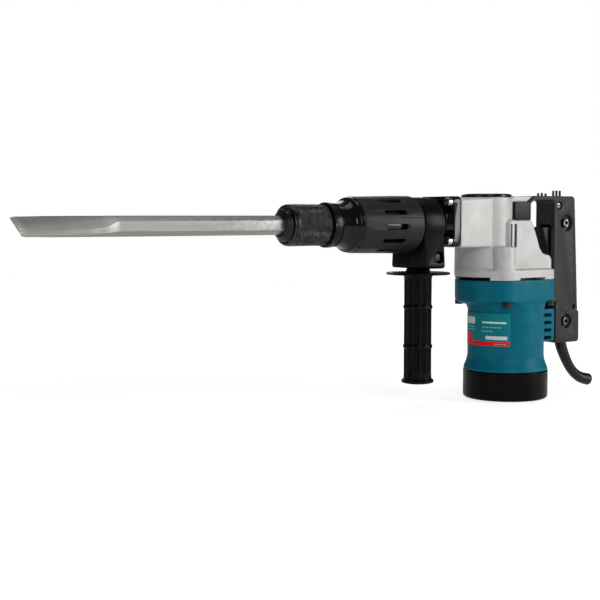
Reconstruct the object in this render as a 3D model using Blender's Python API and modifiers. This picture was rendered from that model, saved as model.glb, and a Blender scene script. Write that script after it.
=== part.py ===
"""Electric demolition hammer with a 17 mm hex flat chisel, as separate parts.

Frame: origin at the centre of the motor base's underside, +Z up, the chisel
points along -X.  The tool axis is a line along X, AXIS_Z above the floor.
The motor stands upright on X = 0, Y = 0; the crank stands upright ahead of it.
Sizes are written in millimetres and turned into metres where meshes are made.
"""
import bpy
import bmesh
from math import acos, cos, pi, radians, sin, sqrt, tan
from mathutils import Matrix, Vector

MM = 0.001
GAP = 0.3                      # clearance kept between parts that touch

# ---------------------------------------------------------------- driving dimensions
AXIS_Z = 197.5                 # tool axis above the base
SEAT_Z = 135.5                 # joint between motor housing and casting
TOP_Z = AXIS_Z + 30.0          # top of the crank chamber
MODULE = 1.0                   # gear tooth module
PINION_TEETH = 10
GEAR_TEETH = 54
CRANK_X = -MODULE * (PINION_TEETH + GEAR_TEETH) / 2
CRANK_THROW = 11.0             # half the piston stroke
ROD_LENGTH = 46.0              # wrist pin to crank pin
PIN_X = CRANK_X - CRANK_THROW  # crank pin at front dead centre, the rest pose
WRIST_X = PIN_X - ROD_LENGTH
BORE_R = 16.0                  # hammer cylinder bore

HEX_AF = 17.0                  # shank across flats
HEX_R = HEX_AF / sqrt(3.0)     # shank centre to corner
CHISEL_REAR_X = -225.0
CHISEL_TIP_X = -585.0
FORGING_X = -488.0             # where the blade forging starts

SLEEVE_FRONT_X = -301.0
SLEEVE_REAR_X = -258.7
SLEEVE_R = 21.3
COVER_FRONT_X = -224.0
COVER_REAR_X = -144.6
COVER_R = 30.5
CLAMP_FRONT_X = -144.2
CLAMP_REAR_X = -117.2
CLAMP_SEAT_R = 26.5
GRIP_X = (CLAMP_FRONT_X + CLAMP_REAR_X) / 2
GRIP_R = 15.1
FLANGE_FRONT_X = -104.0
FLANGE_REAR_X = -94.0
CHAMBER_R = 29.0               # outside of the crank chamber
TOWER_HALF_W = 33.0
LINER_BORE_R = 20.4
VENT_X = (-22.0, 17.0)         # slots in the joint over the motor, one on each side

BODY_X = -3.3                  # middle of the motor housing's square top
BODY_AX = 43.3                 # half length of the square top
BODY_AY = 45.0                 # half width of the square top
BODY_CORNER = 16.0
BULGE_R = 33.0                 # round front of the casting and housing, over the gear
SCREW_DX = 33.0
SCREW_DY = 39.0
SCREW_SEAT_Z = 111.5           # underside of the shoulder, where the motor screws bear
POD_HALF_W = 17.0
WAIST_R = 43.2
MOTOR_BORE_R = 39.5
BASE_R = 48.0
BASE_H = 32.0

HANDLE_HALF_W = 15.0
HANDLE_FRONT_X = 61.0
BLOCK_FRONT_X = 63.0           # front of the handle's lower block, against the air pod
BLOCK_HALF_W = 17.0
HANDLE_TOP_Z = AXIS_Z + 32.0
HANDLE_BOTTOM_Z = 59.0

ROUND = 28                     # sides of a large round piece
MID = 18
SMALL = 8


# ---------------------------------------------------------------- scene and helpers
def clear_scene():
    for old in list(bpy.data.objects):
        bpy.data.objects.remove(old, do_unlink=True)


def make_collection(name):
    collection = bpy.data.collections.new(name)
    bpy.context.scene.collection.children.link(collection)
    return collection


def material(name, colour, roughness, metallic=0.0):
    mat = bpy.data.materials.new(name)
    mat.use_nodes = True
    shader = mat.node_tree.nodes["Principled BSDF"]
    shader.inputs["Base Color"].default_value = (*colour, 1.0)
    shader.inputs["Roughness"].default_value = roughness
    shader.inputs["Metallic"].default_value = metallic
    mat.diffuse_color = (*colour, 1.0)
    return mat


FINISHES = {
    "steel": ((0.42, 0.40, 0.37), 0.38, 1.0),
    "black_oxide": ((0.035, 0.035, 0.035), 0.45, 0.8),
    "gloss_black": ((0.012, 0.012, 0.012), 0.15, 0.0),
    "cover_plastic": ((0.028, 0.034, 0.033), 0.5, 0.0),
    "rubber": ((0.012, 0.012, 0.012), 0.6, 0.0),
    "cast_aluminium": ((0.62, 0.62, 0.60), 0.35, 0.9),
    "teal": ((0.0, 0.14, 0.21), 0.45, 0.0),
    "handle_plastic": ((0.05, 0.052, 0.052), 0.5, 0.0),
    "base_plastic": ((0.008, 0.007, 0.006), 0.35, 0.0),
    "label": ((0.01, 0.26, 0.28), 0.35, 0.0),
    "copper": ((0.72, 0.36, 0.18), 0.35, 1.0),
    "carbon": ((0.03, 0.03, 0.03), 0.7, 0.0),
}


def add_object(name, mesh, finish):
    """Part object when a finish is given, hidden cutter when it is None."""
    obj = bpy.data.objects.new(name, mesh)
    if finish is None:
        CUTTERS.objects.link(obj)
        obj.hide_render = True
        obj.display_type = "WIRE"
        return obj
    PARTS.objects.link(obj)
    colour, roughness, metallic = FINISHES[finish]
    mesh.materials.append(material(name + "_material", colour, roughness, metallic))
    return obj


def mesh_from(bm, name):
    mesh = bpy.data.meshes.new(name)
    bm.to_mesh(mesh)
    bm.free()
    return mesh


def shade(mesh):
    mesh.shade_smooth()
    mesh.set_sharp_from_angle(angle=radians(35))


def box(name, x, y, z, finish=None, bevel=0.0, segments=1):
    """Box between two limits on each axis, with optional rounded edges."""
    bm = bmesh.new()
    bmesh.ops.create_cube(bm, size=1.0)
    size = Vector((x[1] - x[0], y[1] - y[0], z[1] - z[0])) * MM
    middle = Vector((x[0] + x[1], y[0] + y[1], z[0] + z[1])) * (MM / 2)
    bmesh.ops.scale(bm, vec=size, verts=bm.verts)
    obj = add_object(name, mesh_from(bm, name), finish)
    obj.location = middle
    if bevel:
        mod = obj.modifiers.new("Rounded edges", "BEVEL")
        mod.width = bevel * MM
        mod.segments = segments
    return obj


AXIS_TURN = {"X": (0.0, radians(90), 0.0), "Y": (radians(-90), 0.0, 0.0), "Z": (0.0, 0.0, 0.0)}


def cylinder(name, axis, centre, radius, start, end, finish=None, sides=MID):
    """Cylinder along an axis; centre gives the other two coordinates."""
    bm = bmesh.new()
    bmesh.ops.create_cone(bm, cap_ends=True, segments=sides, radius1=radius * MM,
                          radius2=radius * MM, depth=(end - start) * MM)
    mesh = mesh_from(bm, name)
    shade(mesh)
    obj = add_object(name, mesh, finish)
    place = list(centre)
    place.insert("XYZ".index(axis), (start + end) / 2)
    obj.location = Vector(place) * MM
    obj.rotation_euler = AXIS_TURN[axis]
    return obj


def turned(name, profile, finish=None, axis="Z", centre=(0.0, 0.0), sides=ROUND, closed=False):
    """Turned piece: profile pairs (place along axis, radius), outer side first.

    The list runs down the outer side, from the far end of the axis to the
    near end; a bored piece goes on back up its bore and is closed."""
    mesh = bpy.data.meshes.new(name)
    verts = [(radius * MM, 0.0, along * MM) for along, radius in profile]
    edges = [(i, i + 1) for i in range(len(verts) - 1) if profile[i][1] + profile[i + 1][1] > 0]
    if closed:
        edges.append((len(verts) - 1, 0))
    mesh.from_pydata(verts, edges, [])
    obj = add_object(name, mesh, finish)
    mod = obj.modifiers.new("Turn", "SCREW")
    mod.axis = "Z"
    mod.angle = 2 * pi
    mod.steps = sides
    mod.render_steps = sides
    mod.use_merge_vertices = True
    mod.merge_threshold = 0.00001
    mod.use_smooth_shade = True
    place = list(centre)
    place.insert("XYZ".index(axis), 0.0)
    obj.location = Vector(place) * MM
    obj.rotation_euler = AXIS_TURN[axis]
    return obj


PLANE_TURN = {"XY": (0.0, 0.0, 0.0), "XZ": (radians(90), 0.0, 0.0), "YZ": (radians(90), 0.0, radians(90))}


def mesh_of_curve(curve, name):
    """Closed mesh of a curve, its caps welded to its sides."""
    draft = bpy.data.objects.new(name + "_draft", curve)
    bpy.context.scene.collection.objects.link(draft)
    bpy.context.view_layer.update()
    graph = bpy.context.evaluated_depsgraph_get()
    mesh = bpy.data.meshes.new_from_object(draft.evaluated_get(graph))
    bpy.data.objects.remove(draft, do_unlink=True)
    bpy.data.curves.remove(curve)
    bm = bmesh.new()
    bm.from_mesh(mesh)
    bmesh.ops.remove_doubles(bm, verts=bm.verts, dist=0.00001)
    bmesh.ops.recalc_face_normals(bm, faces=bm.faces)
    bm.to_mesh(mesh)
    bm.free()
    mesh.name = name
    mesh.materials.clear()
    return mesh


def prism(name, outline, plane, start, end, finish=None, bevel=0.0):
    """Flat outline in a plane, made solid between two places along its normal."""
    curve = bpy.data.curves.new(name, "CURVE")
    curve.dimensions = "2D"
    curve.fill_mode = "BOTH"
    curve.extrude = abs(end - start) / 2 * MM
    spline = curve.splines.new("POLY")
    spline.points.add(len(outline) - 1)
    for point, (u, v) in zip(spline.points, outline):
        point.co = (u * MM, v * MM, 0.0, 1.0)
    spline.use_cyclic_u = True
    obj = add_object(name, mesh_of_curve(curve, name), finish)
    normal = {"XY": Vector((0, 0, 1)), "XZ": Vector((0, 1, 0)), "YZ": Vector((1, 0, 0))}[plane]
    obj.location = normal * ((start + end) / 2 * MM)
    obj.rotation_euler = PLANE_TURN[plane]
    if bevel:
        mod = obj.modifiers.new("Rounded edges", "BEVEL")
        mod.width = bevel * MM
        mod.segments = 1
        mod.limit_method = "ANGLE"
        mod.angle_limit = radians(60)
    return obj


def loft(name, rings, finish=None):
    """Closed body through rings of points that all have the same count."""
    bm = bmesh.new()
    loops = [[bm.verts.new(Vector(point) * MM) for point in ring] for ring in rings]
    count = len(loops[0])
    for lower, upper in zip(loops, loops[1:]):
        for i in range(count):
            j = (i + 1) % count
            bm.faces.new((lower[i], lower[j], upper[j], upper[i]))
    bm.faces.new(list(reversed(loops[0])))
    bm.faces.new(loops[-1])
    bmesh.ops.recalc_face_normals(bm, faces=bm.faces)
    mesh = mesh_from(bm, name)
    shade(mesh)
    return add_object(name, mesh, finish)


def combine(target, operation, *others):
    for other in others:
        mod = target.modifiers.new(other.name, "BOOLEAN")
        mod.operation = operation
        mod.solver = "EXACT"
        mod.object = other
    return target


def cut(target, *cutters):
    return combine(target, "DIFFERENCE", *cutters)


def join(target, *pieces):
    return combine(target, "UNION", *pieces)


def arc(cx, cy, radius, start, end, steps):
    """Points on an arc from one angle to another, in degrees."""
    angles = [radians(start + (end - start) * i / steps) for i in range(steps + 1)]
    return [(cx + radius * cos(a), cy + radius * sin(a)) for a in angles]


def rounded(corners, steps=3):
    """Outline from (u, v, radius) corners, each rounded by an arc."""
    points = []
    count = len(corners)
    for i, (u, v, radius) in enumerate(corners):
        here = Vector((u, v))
        before = (Vector(corners[i - 1][:2]) - here).normalized()
        after = (Vector(corners[(i + 1) % count][:2]) - here).normalized()
        if radius <= 0:
            points.append((u, v))
            continue
        half = before.angle(after) / 2
        reach = radius / tan(half)
        centre = here + (before + after).normalized() * (radius / sin(half))
        start = here + before * reach - centre
        turn = Vector(start).angle_signed(here + after * reach - centre)
        for k in range(steps + 1):
            spoke = start.copy()
            spoke.rotate(Matrix.Rotation(-turn * k / steps, 2))
            points.append(tuple(centre + spoke))
    return points


def rounded_rectangle(cx, cy, half_x, half_y, radius, steps=4):
    """Rounded rectangle as a ring of points, starting on the +X side."""
    points = []
    for k, (sx, sy) in enumerate(((1, 1), (-1, 1), (-1, -1), (1, -1))):
        points += arc(cx + sx * (half_x - radius), cy + sy * (half_y - radius),
                      radius, 90 * k, 90 * k + 90, steps)
    return points


# ---------------------------------------------------------------- chisel and tool holder
def chisel_section(x, across, thick, tip):
    """Six-sided section whose long direction lies on two corners of the hex.

    across: half width to the corner, tip: half width where the flats start,
    thick: half thickness there."""
    along = Vector((-cos(radians(30)), -sin(radians(30))))
    normal = Vector((-sin(radians(30)), cos(radians(30))))
    ring = []
    for u, v in ((across, 0), (tip, thick), (-tip, thick), (-across, 0), (-tip, -thick), (tip, -thick)):
        point = along * u + normal * v
        ring.append((x, point.x, AXIS_Z + point.y))
    return ring


def build_flat_chisel():
    flat = HEX_AF / 2
    stations = [
        (CHISEL_REAR_X, HEX_R * 0.86, flat * 0.86, HEX_R * 0.43),
        (CHISEL_REAR_X - 2, HEX_R, flat, HEX_R / 2),
        (FORGING_X, HEX_R, flat, HEX_R / 2),
        (FORGING_X - 16, 13.6, 7.2, 12.2),
        (FORGING_X - 42, 15.8, 6.0, 15.0),
        (FORGING_X - 70, 16.0, 4.0, 15.5),
        (CHISEL_TIP_X + 5, 16.0, 2.9, 15.6),
        (CHISEL_TIP_X, 16.0, 0.7, 15.9),
    ]
    body = loft("flat_chisel", [chisel_section(*station) for station in stations], "steel")
    notch = box("cut_shank_notch", (-278.3, -255.7), (-12, 12), (AXIS_Z + 6.2, AXIS_Z + 12))
    return cut(body, notch)


def build_tool_holder():
    """Hex-bored holder: front tube, the collar that shows, and a spigot."""
    profile = [(-203, 0), (-203, 15.9), (-246.8, 15.9), (-246.8, 22), (-247.8, 23),
               (-255.5, 23), (-256.5, 22), (-256.5, 14.5), (-258, 13), (-298, 13), (-298, 12.2),
               (-300.3, 12.2), (-300.3, 13), (-303, 13), (-304, 12.3), (-304, 0)]
    body = turned("tool_holder", profile, "black_oxide", "X", (0, AXIS_Z))
    hex_r = (HEX_AF + 0.5) / sqrt(3.0)
    hexagon = [(hex_r * cos(radians(a)), AXIS_Z + hex_r * sin(radians(a))) for a in range(30, 390, 60)]
    return cut(body,
               prism("cut_hex_bore", hexagon, "YZ", -300, -210),
               cylinder("cut_bolt_bore", "X", (0, AXIS_Z), 10.6, -218, -200, sides=20),
               cylinder("cut_seal_seat", "X", (0, AXIS_Z), 11.5, -306, -297, sides=20),
               box("cut_roller_slot", (-275.9, -268.1), (-5.4, 5.4), (AXIS_Z + 7, AXIS_Z + 16)))


def build_nose_seal():
    profile = [(-297.3, 10.0), (-297.3, 11.2), (-303.8, 11.2), (-303.8, 10.0)]
    return turned("nose_seal", profile, "rubber", "X", (0, AXIS_Z), MID, True)


def build_lock_sleeve():
    """Knurled sleeve that turns on the holder; the groove clears the roller."""
    profile = [(SLEEVE_REAR_X, 13.3), (SLEEVE_REAR_X, SLEEVE_R - 0.8), (SLEEVE_REAR_X - 0.8, SLEEVE_R),
               (SLEEVE_FRONT_X + 1.2, SLEEVE_R), (SLEEVE_FRONT_X, SLEEVE_R - 1.2), (SLEEVE_FRONT_X, 18.0),
               (SLEEVE_FRONT_X + 3, 18.0), (SLEEVE_FRONT_X + 3, 13.3), (-277.5, 13.3),
               (-277.5, 17.8), (-266.5, 17.8), (-266.5, 13.3)]
    return turned("lock_sleeve", profile, "black_oxide", "X", (0, AXIS_Z), ROUND, True)


def build_stop_ring():
    profile = [(-298.3, 12.5), (-298.3, 16.6), (-300.0, 16.6), (-300.0, 12.5)]
    return turned("stop_ring", profile, "steel", "X", (0, AXIS_Z), MID, True)


def build_lock_roller():
    return cylinder("lock_roller", "Y", (-272.0, AXIS_Z + 10.0), 3.4, -5.0, 5.0, "steel", SMALL)


# ---------------------------------------------------------------- barrel, cover and hammer parts
FLANGE_SCREWS = [(y, AXIS_Z + 3.2 + z) for y in (-22.5, 22.5) for z in (-21.0, 21.0)]


def build_barrel():
    """Hammer barrel: flared front, clamp seat, four-screw rear flange, spigot."""
    profile = [(-84, 20.1), (-84, 22), (-96, 22), (-96, 22.8), (-114, 22.8), (-115, CLAMP_SEAT_R),
               (-147, CLAMP_SEAT_R),
               (-148, 25.6), (-210, 25.6), (-212, 27), (-215, 27), (-221, 26), (-231, 23.2),
               (-239, 21.4), (-246.4, 21), (-246.4, 16.2), (-204, 16.2), (-204, 20.1)]
    body = turned("barrel", profile, "gloss_black", "X", (0, AXIS_Z), ROUND, True)
    outline = rounded([(-28, AXIS_Z - 24, 5), (28, AXIS_Z - 24, 5), (28, AXIS_Z + 30.4, 5),
                       (-28, AXIS_Z + 30.4, 5)])
    plate = prism("join_flange_plate", outline, "YZ", FLANGE_FRONT_X, FLANGE_REAR_X)
    cut(plate, cylinder("cut_plate_bore", "X", (0, AXIS_Z), 21.4, FLANGE_FRONT_X - 1, FLANGE_REAR_X + 1,
                        sides=MID))
    join(body, plate)
    for i, (y, z) in enumerate(FLANGE_SCREWS):
        cut(body, cylinder(f"cut_flange_hole_{i + 1}", "X", (y, z), 3.0, FLANGE_FRONT_X - 2,
                           FLANGE_REAR_X + 2, sides=SMALL))
    return body


def build_barrel_screws():
    for i, (y, z) in enumerate(FLANGE_SCREWS):
        top = FLANGE_FRONT_X - 0.3
        profile = [(-80, 0), (-80, 2.6), (top, 2.6), (top, 4.6), (top - 7, 4.6), (top - 7, 2.4),
                   (top - 3.5, 2.4), (top - 3.5, 0)]
        turned(f"barrel_screw_{i + 1}", profile, "steel", "X", (y, z), SMALL)


def build_barrel_cover():
    """Slotted plastic cover over the barrel, twelve slots round it."""
    profile = [(COVER_REAR_X, 27.2), (COVER_REAR_X, COVER_R - 0.8), (COVER_REAR_X - 0.8, COVER_R),
               (COVER_FRONT_X + 1.5, COVER_R - 1.2), (COVER_FRONT_X, COVER_R - 2.2),
               (COVER_FRONT_X, 27.6), (COVER_REAR_X - 6, 27.6)]
    body = turned("barrel_cover", profile, "cover_plastic", "X", (0, AXIS_Z), ROUND, True)
    for k in range(6):
        slot = box(f"cut_cover_slots_{k + 1}", (-198, -169), (-40, 40), (-2.4, 2.4))
        slot.location.z = AXIS_Z * MM
        slot.rotation_euler = (radians(30 * k), 0, 0)
        cut(body, slot)
    return body


def build_cylinder_liner():
    profile = [(-62, BORE_R), (-62, 19.7), (-165, 19.7), (-165, BORE_R)]
    return turned("cylinder_liner", profile, "steel", "X", (0, AXIS_Z), MID, True)


def build_bolt_guide():
    profile = [(-166, 9.4), (-166, 19.7), (-183, 19.7), (-183, 9.4)]
    return turned("bolt_guide", profile, "steel", "X", (0, AXIS_Z), MID, True)


def build_impact_damper():
    profile = [(-199, 10.7), (-199, 19.4), (-202.6, 19.4), (-202.6, 10.7)]
    return turned("impact_damper", profile, "rubber", "X", (0, AXIS_Z), MID, True)


def build_impact_bolt():
    profile = [(-171, 0), (-171, 8.2), (-172, 9), (-185, 9), (-185, 14.5), (-193, 14.5), (-195, 10),
               (-212, 10), (-213, 8), (-218.6, 8), (-219.4, 7.2), (-219.4, 0)]
    return turned("impact_bolt", profile, "steel", "X", (0, AXIS_Z), MID)


def ring_groove(at, radius, depth=1.4, half=1.3):
    """Profile points of a groove, outer side running toward -X."""
    return [(at + half, radius), (at + half, radius - depth), (at - half, radius - depth), (at - half, radius)]


def build_striker():
    radius = BORE_R - 0.3
    profile = [(-118, 0), (-118, radius - 1), (-119, radius)] + ring_groove(-132, radius)
    profile += [(-144, radius), (-146, radius - 2), (-147, 9), (-155, 9), (-156, 8), (-156, 0)]
    return turned("striker", profile, "steel", "X", (0, AXIS_Z), MID)


def seal_ring(name, at):
    """O-ring with a square section that lies in a ring groove."""
    outer = BORE_R - 0.15
    profile = [(at + 0.9, outer - 1.1), (at + 0.9, outer), (at - 0.9, outer), (at - 0.9, outer - 1.1)]
    return turned(name, profile, "rubber", "X", (0, AXIS_Z), MID, True)


def build_piston():
    """Cup piston: crown ahead, slot and cross hole for rod and wrist pin."""
    radius = BORE_R - 0.3
    profile = [(WRIST_X + 8, 0), (WRIST_X + 8, radius)] + ring_groove(WRIST_X - 19, radius)
    profile += [(WRIST_X - 25, radius), (WRIST_X - 26, radius - 1), (WRIST_X - 26, 0)]
    body = turned("piston", profile, "steel", "X", (0, AXIS_Z), MID)
    return cut(body,
               box("cut_rod_slot", (WRIST_X - 9, WRIST_X + 10), (-11, 11), (AXIS_Z - 6, AXIS_Z + 6)),
               cylinder("cut_pin_hole", "Z", (WRIST_X, 0), 4.3, AXIS_Z - 18, AXIS_Z + 18, sides=16))


def build_wrist_pin():
    return cylinder("wrist_pin", "Z", (WRIST_X, 0), 4.0, AXIS_Z - 14, AXIS_Z + 14, "steel", 16)


def build_connecting_rod():
    """Rod between wrist pin and crank pin, an eye at each end."""
    small_r, big_r, half = 7.2, 8.2, 4.0
    small_a = acos(half / small_r)
    big_a = acos(half / big_r)
    turn_small = 90 - small_a * 180 / pi
    turn_big = 90 - big_a * 180 / pi
    outline = arc(WRIST_X, 0, small_r, turn_small, 360 - turn_small, 9)
    outline += arc(PIN_X, 0, big_r, -180 + turn_big, 180 - turn_big, 11)
    body = prism("connecting_rod", outline, "XY", AXIS_Z - 5, AXIS_Z + 5, "steel")
    return cut(body,
               cylinder("cut_rod_small_eye", "Z", (WRIST_X, 0), 4.3, AXIS_Z - 8, AXIS_Z + 8, sides=14),
               cylinder("cut_rod_big_eye", "Z", (PIN_X, 0), 4.8, AXIS_Z - 8, AXIS_Z + 8, sides=14))


# ---------------------------------------------------------------- crank, gears and casting
GEAR_Z = (139.0, 147.5)
CRANK_BEARING_Z = ((152.0, 160.0), (168.0, 176.0))


def toothed_outline(cx, teeth, phase):
    """Straight-flanked gear teeth with backlash, one gap cut per tooth."""
    pitch_r = MODULE * teeth / 2
    tip_r = pitch_r + 0.85 * MODULE
    root_r = pitch_r - 1.2 * MODULE
    step = 360 / teeth
    points = []
    for k in range(teeth):
        middle = phase + step * k
        for offset, radius in ((-0.33, root_r), (-0.115, tip_r), (0.115, tip_r), (0.33, root_r)):
            angle = radians(middle + step * offset)
            points.append((cx + radius * cos(angle), radius * sin(angle)))
    return points


def build_crankshaft():
    """Upright shaft with a crank disc and an eccentric pin on top."""
    low = GEAR_Z[0] - 0.5
    profile = [(186, 0), (186, 17), (185, 18), (179, 18), (178, 17), (178, 9), (176.5, 7.7), (low, 7.7), (low, 0)]
    body = turned("crankshaft", profile, "steel", "Z", (CRANK_X, 0), MID)
    pin = cylinder("join_crank_pin", "Z", (PIN_X, 0), 4.4, 184, AXIS_Z - 5.5, sides=16)
    return join(body, pin)


def build_drive_gear():
    """Phase puts a gap of the gear opposite a tooth of the pinion."""
    body = prism("drive_gear", toothed_outline(CRANK_X, GEAR_TEETH, 180 / GEAR_TEETH), "XY", *GEAR_Z, "steel")
    return cut(body, cylinder("cut_gear_bore", "Z", (CRANK_X, 0), 8.0, GEAR_Z[0] - 2, GEAR_Z[1] + 2, sides=MID))


def bearing(name, cx, z, inner, outer):
    """Ball bearing as one ring, its outer edges chamfered."""
    low, high = z
    profile = [(high, inner), (high, outer - 0.6), (high - 0.6, outer), (low + 0.6, outer),
               (low, outer - 0.6), (low, inner)]
    return turned(name, profile, "steel", "Z", (cx, 0), 16, True)


def rounded_block(name, cx, half_x, half_y, radius, start, end, finish=None):
    return prism(name, rounded_rectangle(cx, 0, half_x, half_y, radius), "XY", start, end, finish)


SCREW_PLACES = [(BODY_X + sx * SCREW_DX, sy * SCREW_DY) for sx in (-1, 1) for sy in (-1, 1)]


def build_socket():
    """Barrel socket, square ahead and drawn in towards the crank chamber."""
    outline = rounded([(-27.2, AXIS_Z - 25, 3), (27.2, AXIS_Z - 25, 3), (27.2, AXIS_Z + 29.5, 6),
                       (-27.2, AXIS_Z + 29.5, 6)])
    socket = prism("join_barrel_socket", outline, "YZ", FLANGE_REAR_X + GAP, CRANK_X)
    side = [(FLANGE_REAR_X - 2, -28), (-78, -28), (-50, -23.5), (CRANK_X + 2, -23.5)]
    plan = side + [(x, -y) for x, y in reversed(side)]
    return combine(socket, "INTERSECT", prism("keep_socket_plan", plan, "XY", AXIS_Z - 30, AXIS_Z + 35))


def build_crank_housing():
    """Main casting: gear room, crank chamber, barrel socket, tower and handle arm."""
    body = rounded_block("crank_housing", BODY_X, BODY_AX, BODY_AY, BODY_CORNER, SEAT_Z, 147, "cast_aluminium")
    bulge = cylinder("join_gear_bulge", "Z", (CRANK_X, 0), BULGE_R, SEAT_Z, 173, sides=ROUND)
    chamber = cylinder("join_chamber", "Z", (CRANK_X, 0), CHAMBER_R, 160, TOP_Z, sides=ROUND)
    tower_outline = [(-27, 146), (-27, AXIS_Z + 4.2), (7.5, AXIS_Z + 4.2), (15.5, AXIS_Z - 14), (20, AXIS_Z - 26),
                     (25.5, AXIS_Z - 33.3), (36, AXIS_Z - 35.2), (39.2, AXIS_Z - 39.5), (39.2, 146)]
    tower = prism("join_tower", tower_outline, "XZ", -TOWER_HALF_W, TOWER_HALF_W)
    arm_outline = rounded([(-20, AXIS_Z + 24.8, 0), (-20, AXIS_Z + 29.5, 0), (-3.4, AXIS_Z + 29.5, 0),
                           (-2.4, AXIS_Z + 31.5, 0), (28.6, AXIS_Z + 31.5, 0), (19.2, AXIS_Z + 24.8, 0)], 2)
    arm = prism("join_handle_arm", arm_outline, "XZ", -12.5, 12.5)
    join(body, bulge, chamber, build_socket(), tower, arm)
    for side in (-1, 1):
        join(body, cylinder(f"join_screw_boss_{side + 2}", "Z", (-31, side * 33), 11.5, SEAT_Z + 4, 172, sides=MID))
    cut(body,
        cylinder("cut_gear_room", "Z", (CRANK_X, 0), 29.5, SEAT_Z - 2, 150.3, sides=ROUND),
        cylinder("cut_pinion_room", "Z", (0, 0), 14, SEAT_Z - 2, 154, sides=MID),
        cylinder("cut_bearing_bore", "Z", (CRANK_X, 0), 14.3, 149, 178, sides=MID),
        cylinder("cut_chamber_bore", "Z", (CRANK_X, 0), 25, 177, TOP_Z + 2, sides=ROUND),
        cylinder("cut_barrel_bore", "X", (0, AXIS_Z), 22.4, FLANGE_REAR_X - 2, -83.6, sides=ROUND),
        cylinder("cut_liner_bore", "X", (0, AXIS_Z), LINER_BORE_R, -86, CRANK_X, sides=ROUND))
    for i, (x, y) in enumerate(SCREW_PLACES):
        cut(body, cylinder(f"cut_casting_screw_{i + 1}", "Z", (x, y), 2.9, SEAT_Z - 2, 145.2, sides=SMALL))
    for i, (y, z) in enumerate(FLANGE_SCREWS):
        cut(body, cylinder(f"cut_barrel_tap_{i + 1}", "X", (y, z), 2.9, FLANGE_REAR_X - 2, -79, sides=SMALL))
    for side in (-1, 1):
        ends = sorted((side * 41.0, side * 60.0))
        cut(body, box(f"cut_side_vent_{side + 2}", (VENT_X[0], VENT_X[1]), ends, (SEAT_Z - 2, SEAT_Z + 2.8)))
    return body


def build_crank_cap():
    high = TOP_Z + GAP
    profile = [(high + 3.5, 0), (high + 3.5, 26.5), (high + 2.5, 28), (high, 28), (high, 24.6),
               (high - 5, 24.6), (high - 5, 0)]
    return turned("crank_cap", profile, "gloss_black", "Z", (CRANK_X, 0))


# ---------------------------------------------------------------- motor
def body_section(blend, z, radius):
    """Ring that turns from a circle (blend 0) into the square top (blend 1)."""
    half_x = radius + (BODY_AX - radius) * blend
    half_y = radius + (BODY_AY - radius) * blend
    corner = radius + (BODY_CORNER - radius) * blend
    middle = BODY_X * blend
    ring = rounded_rectangle(middle, 0, half_x, half_y, corner, 7)
    return [(x, y, z) for x, y in ring]


def build_motor_housing():
    sections = [(0.0, BASE_H + GAP, 47.6), (0.0, 36.0, 47.0), (0.0, 41.5, 44.8), (0.0, 49.0, WAIST_R),
                (0.0, 98.0, WAIST_R), (0.12, 103.0, WAIST_R), (0.36, 107.5, WAIST_R),
                (0.75, 110.5, WAIST_R), (1.0, 112.0, WAIST_R), (1.0, SEAT_Z - GAP, WAIST_R)]
    rings = [body_section(blend, z, radius) for blend, z, radius in sections]
    body = loft("motor_housing", rings, "teal")
    pod = box("join_air_pod", (20, BLOCK_FRONT_X - 0.4), (-POD_HALF_W, POD_HALF_W), (63, 99.5))
    front = cylinder("join_round_front", "Z", (CRANK_X, 0), BULGE_R, 112.6, SEAT_Z - GAP, sides=ROUND)
    join(body, pod, front)
    cut(body, cylinder("cut_motor_bore", "Z", (0, 0), MOTOR_BORE_R, BASE_H - 2, SEAT_Z + 2, sides=ROUND))
    for i, (x, y) in enumerate(SCREW_PLACES):
        cut(body,
            cylinder(f"cut_screw_scoop_{i + 1}", "Z", (x * 1.03, y * 1.03), 7.4, 96, SCREW_SEAT_Z + GAP, sides=MID),
            cylinder(f"cut_screw_hole_{i + 1}", "Z", (x, y), 3.0, 110, SEAT_Z + 2, sides=SMALL))
    for side in (-1, 1):
        for k in range(4):
            z = 65.4 + 8.7 * k
            ends = sorted((side * (POD_HALF_W - 4), side * (POD_HALF_W + 2)))
            cut(body, box(f"cut_louvre_{side + 2}_{k + 1}", (46, 56.7), ends, (z, z + 4.1)))
    return body


def build_motor_screws():
    for i, (x, y) in enumerate(SCREW_PLACES):
        head = SCREW_SEAT_Z
        profile = [(144, 0), (144, 2.5), (head, 2.5), (head, 4.8), (head - 5.5, 4.6), (head - 5.8, 4.0),
                   (head - 5.8, 2.2), (head - 2.5, 2.2), (head - 2.5, 0)]
        turned(f"motor_screw_{i + 1}", profile, "steel", "Z", (x, y), SMALL)


def build_base_cap():
    """Cup under the motor, with the lower bearing's seat in its floor."""
    corner = arc(BASE_R - 6, 6, 6, 0, -90, 3)
    profile = [(BASE_H, 45.2), (BASE_H, BASE_R - 0.6), (BASE_H - 0.6, BASE_R)]
    profile += [(z, r) for r, z in corner] + [(0, 0), (3.5, 0), (3.5, 11.8), (13, 11.8), (13, 15), (3.5, 16.5),
                                              (3.5, 41), (7.5, 45.2)]
    return turned("base_cap", profile, "base_plastic", "Z", (0, 0), ROUND, True)


def build_bearing_plate():
    """Disc that closes the motor's top and seats the upper bearing."""
    profile = [(SEAT_Z - 0.4, 6.2), (SEAT_Z - 0.4, MOTOR_BORE_R - GAP), (126, MOTOR_BORE_R - GAP),
               (126, 16), (121, 16), (121, 13.3), (131, 13.3), (131, 6.2)]
    return turned("bearing_plate", profile, "cast_aluminium", "Z", (0, 0), ROUND, True)


def build_armature_shaft():
    """Motor shaft with the pinion cut on its upper end."""
    body = cylinder("armature_shaft", "Z", (0, 0), 5.0, 10, 136.5, "steel", 16)
    pinion = prism("join_pinion", toothed_outline(0, PINION_TEETH, 180), "XY", 136, 150.5)
    return join(body, pinion)


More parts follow.
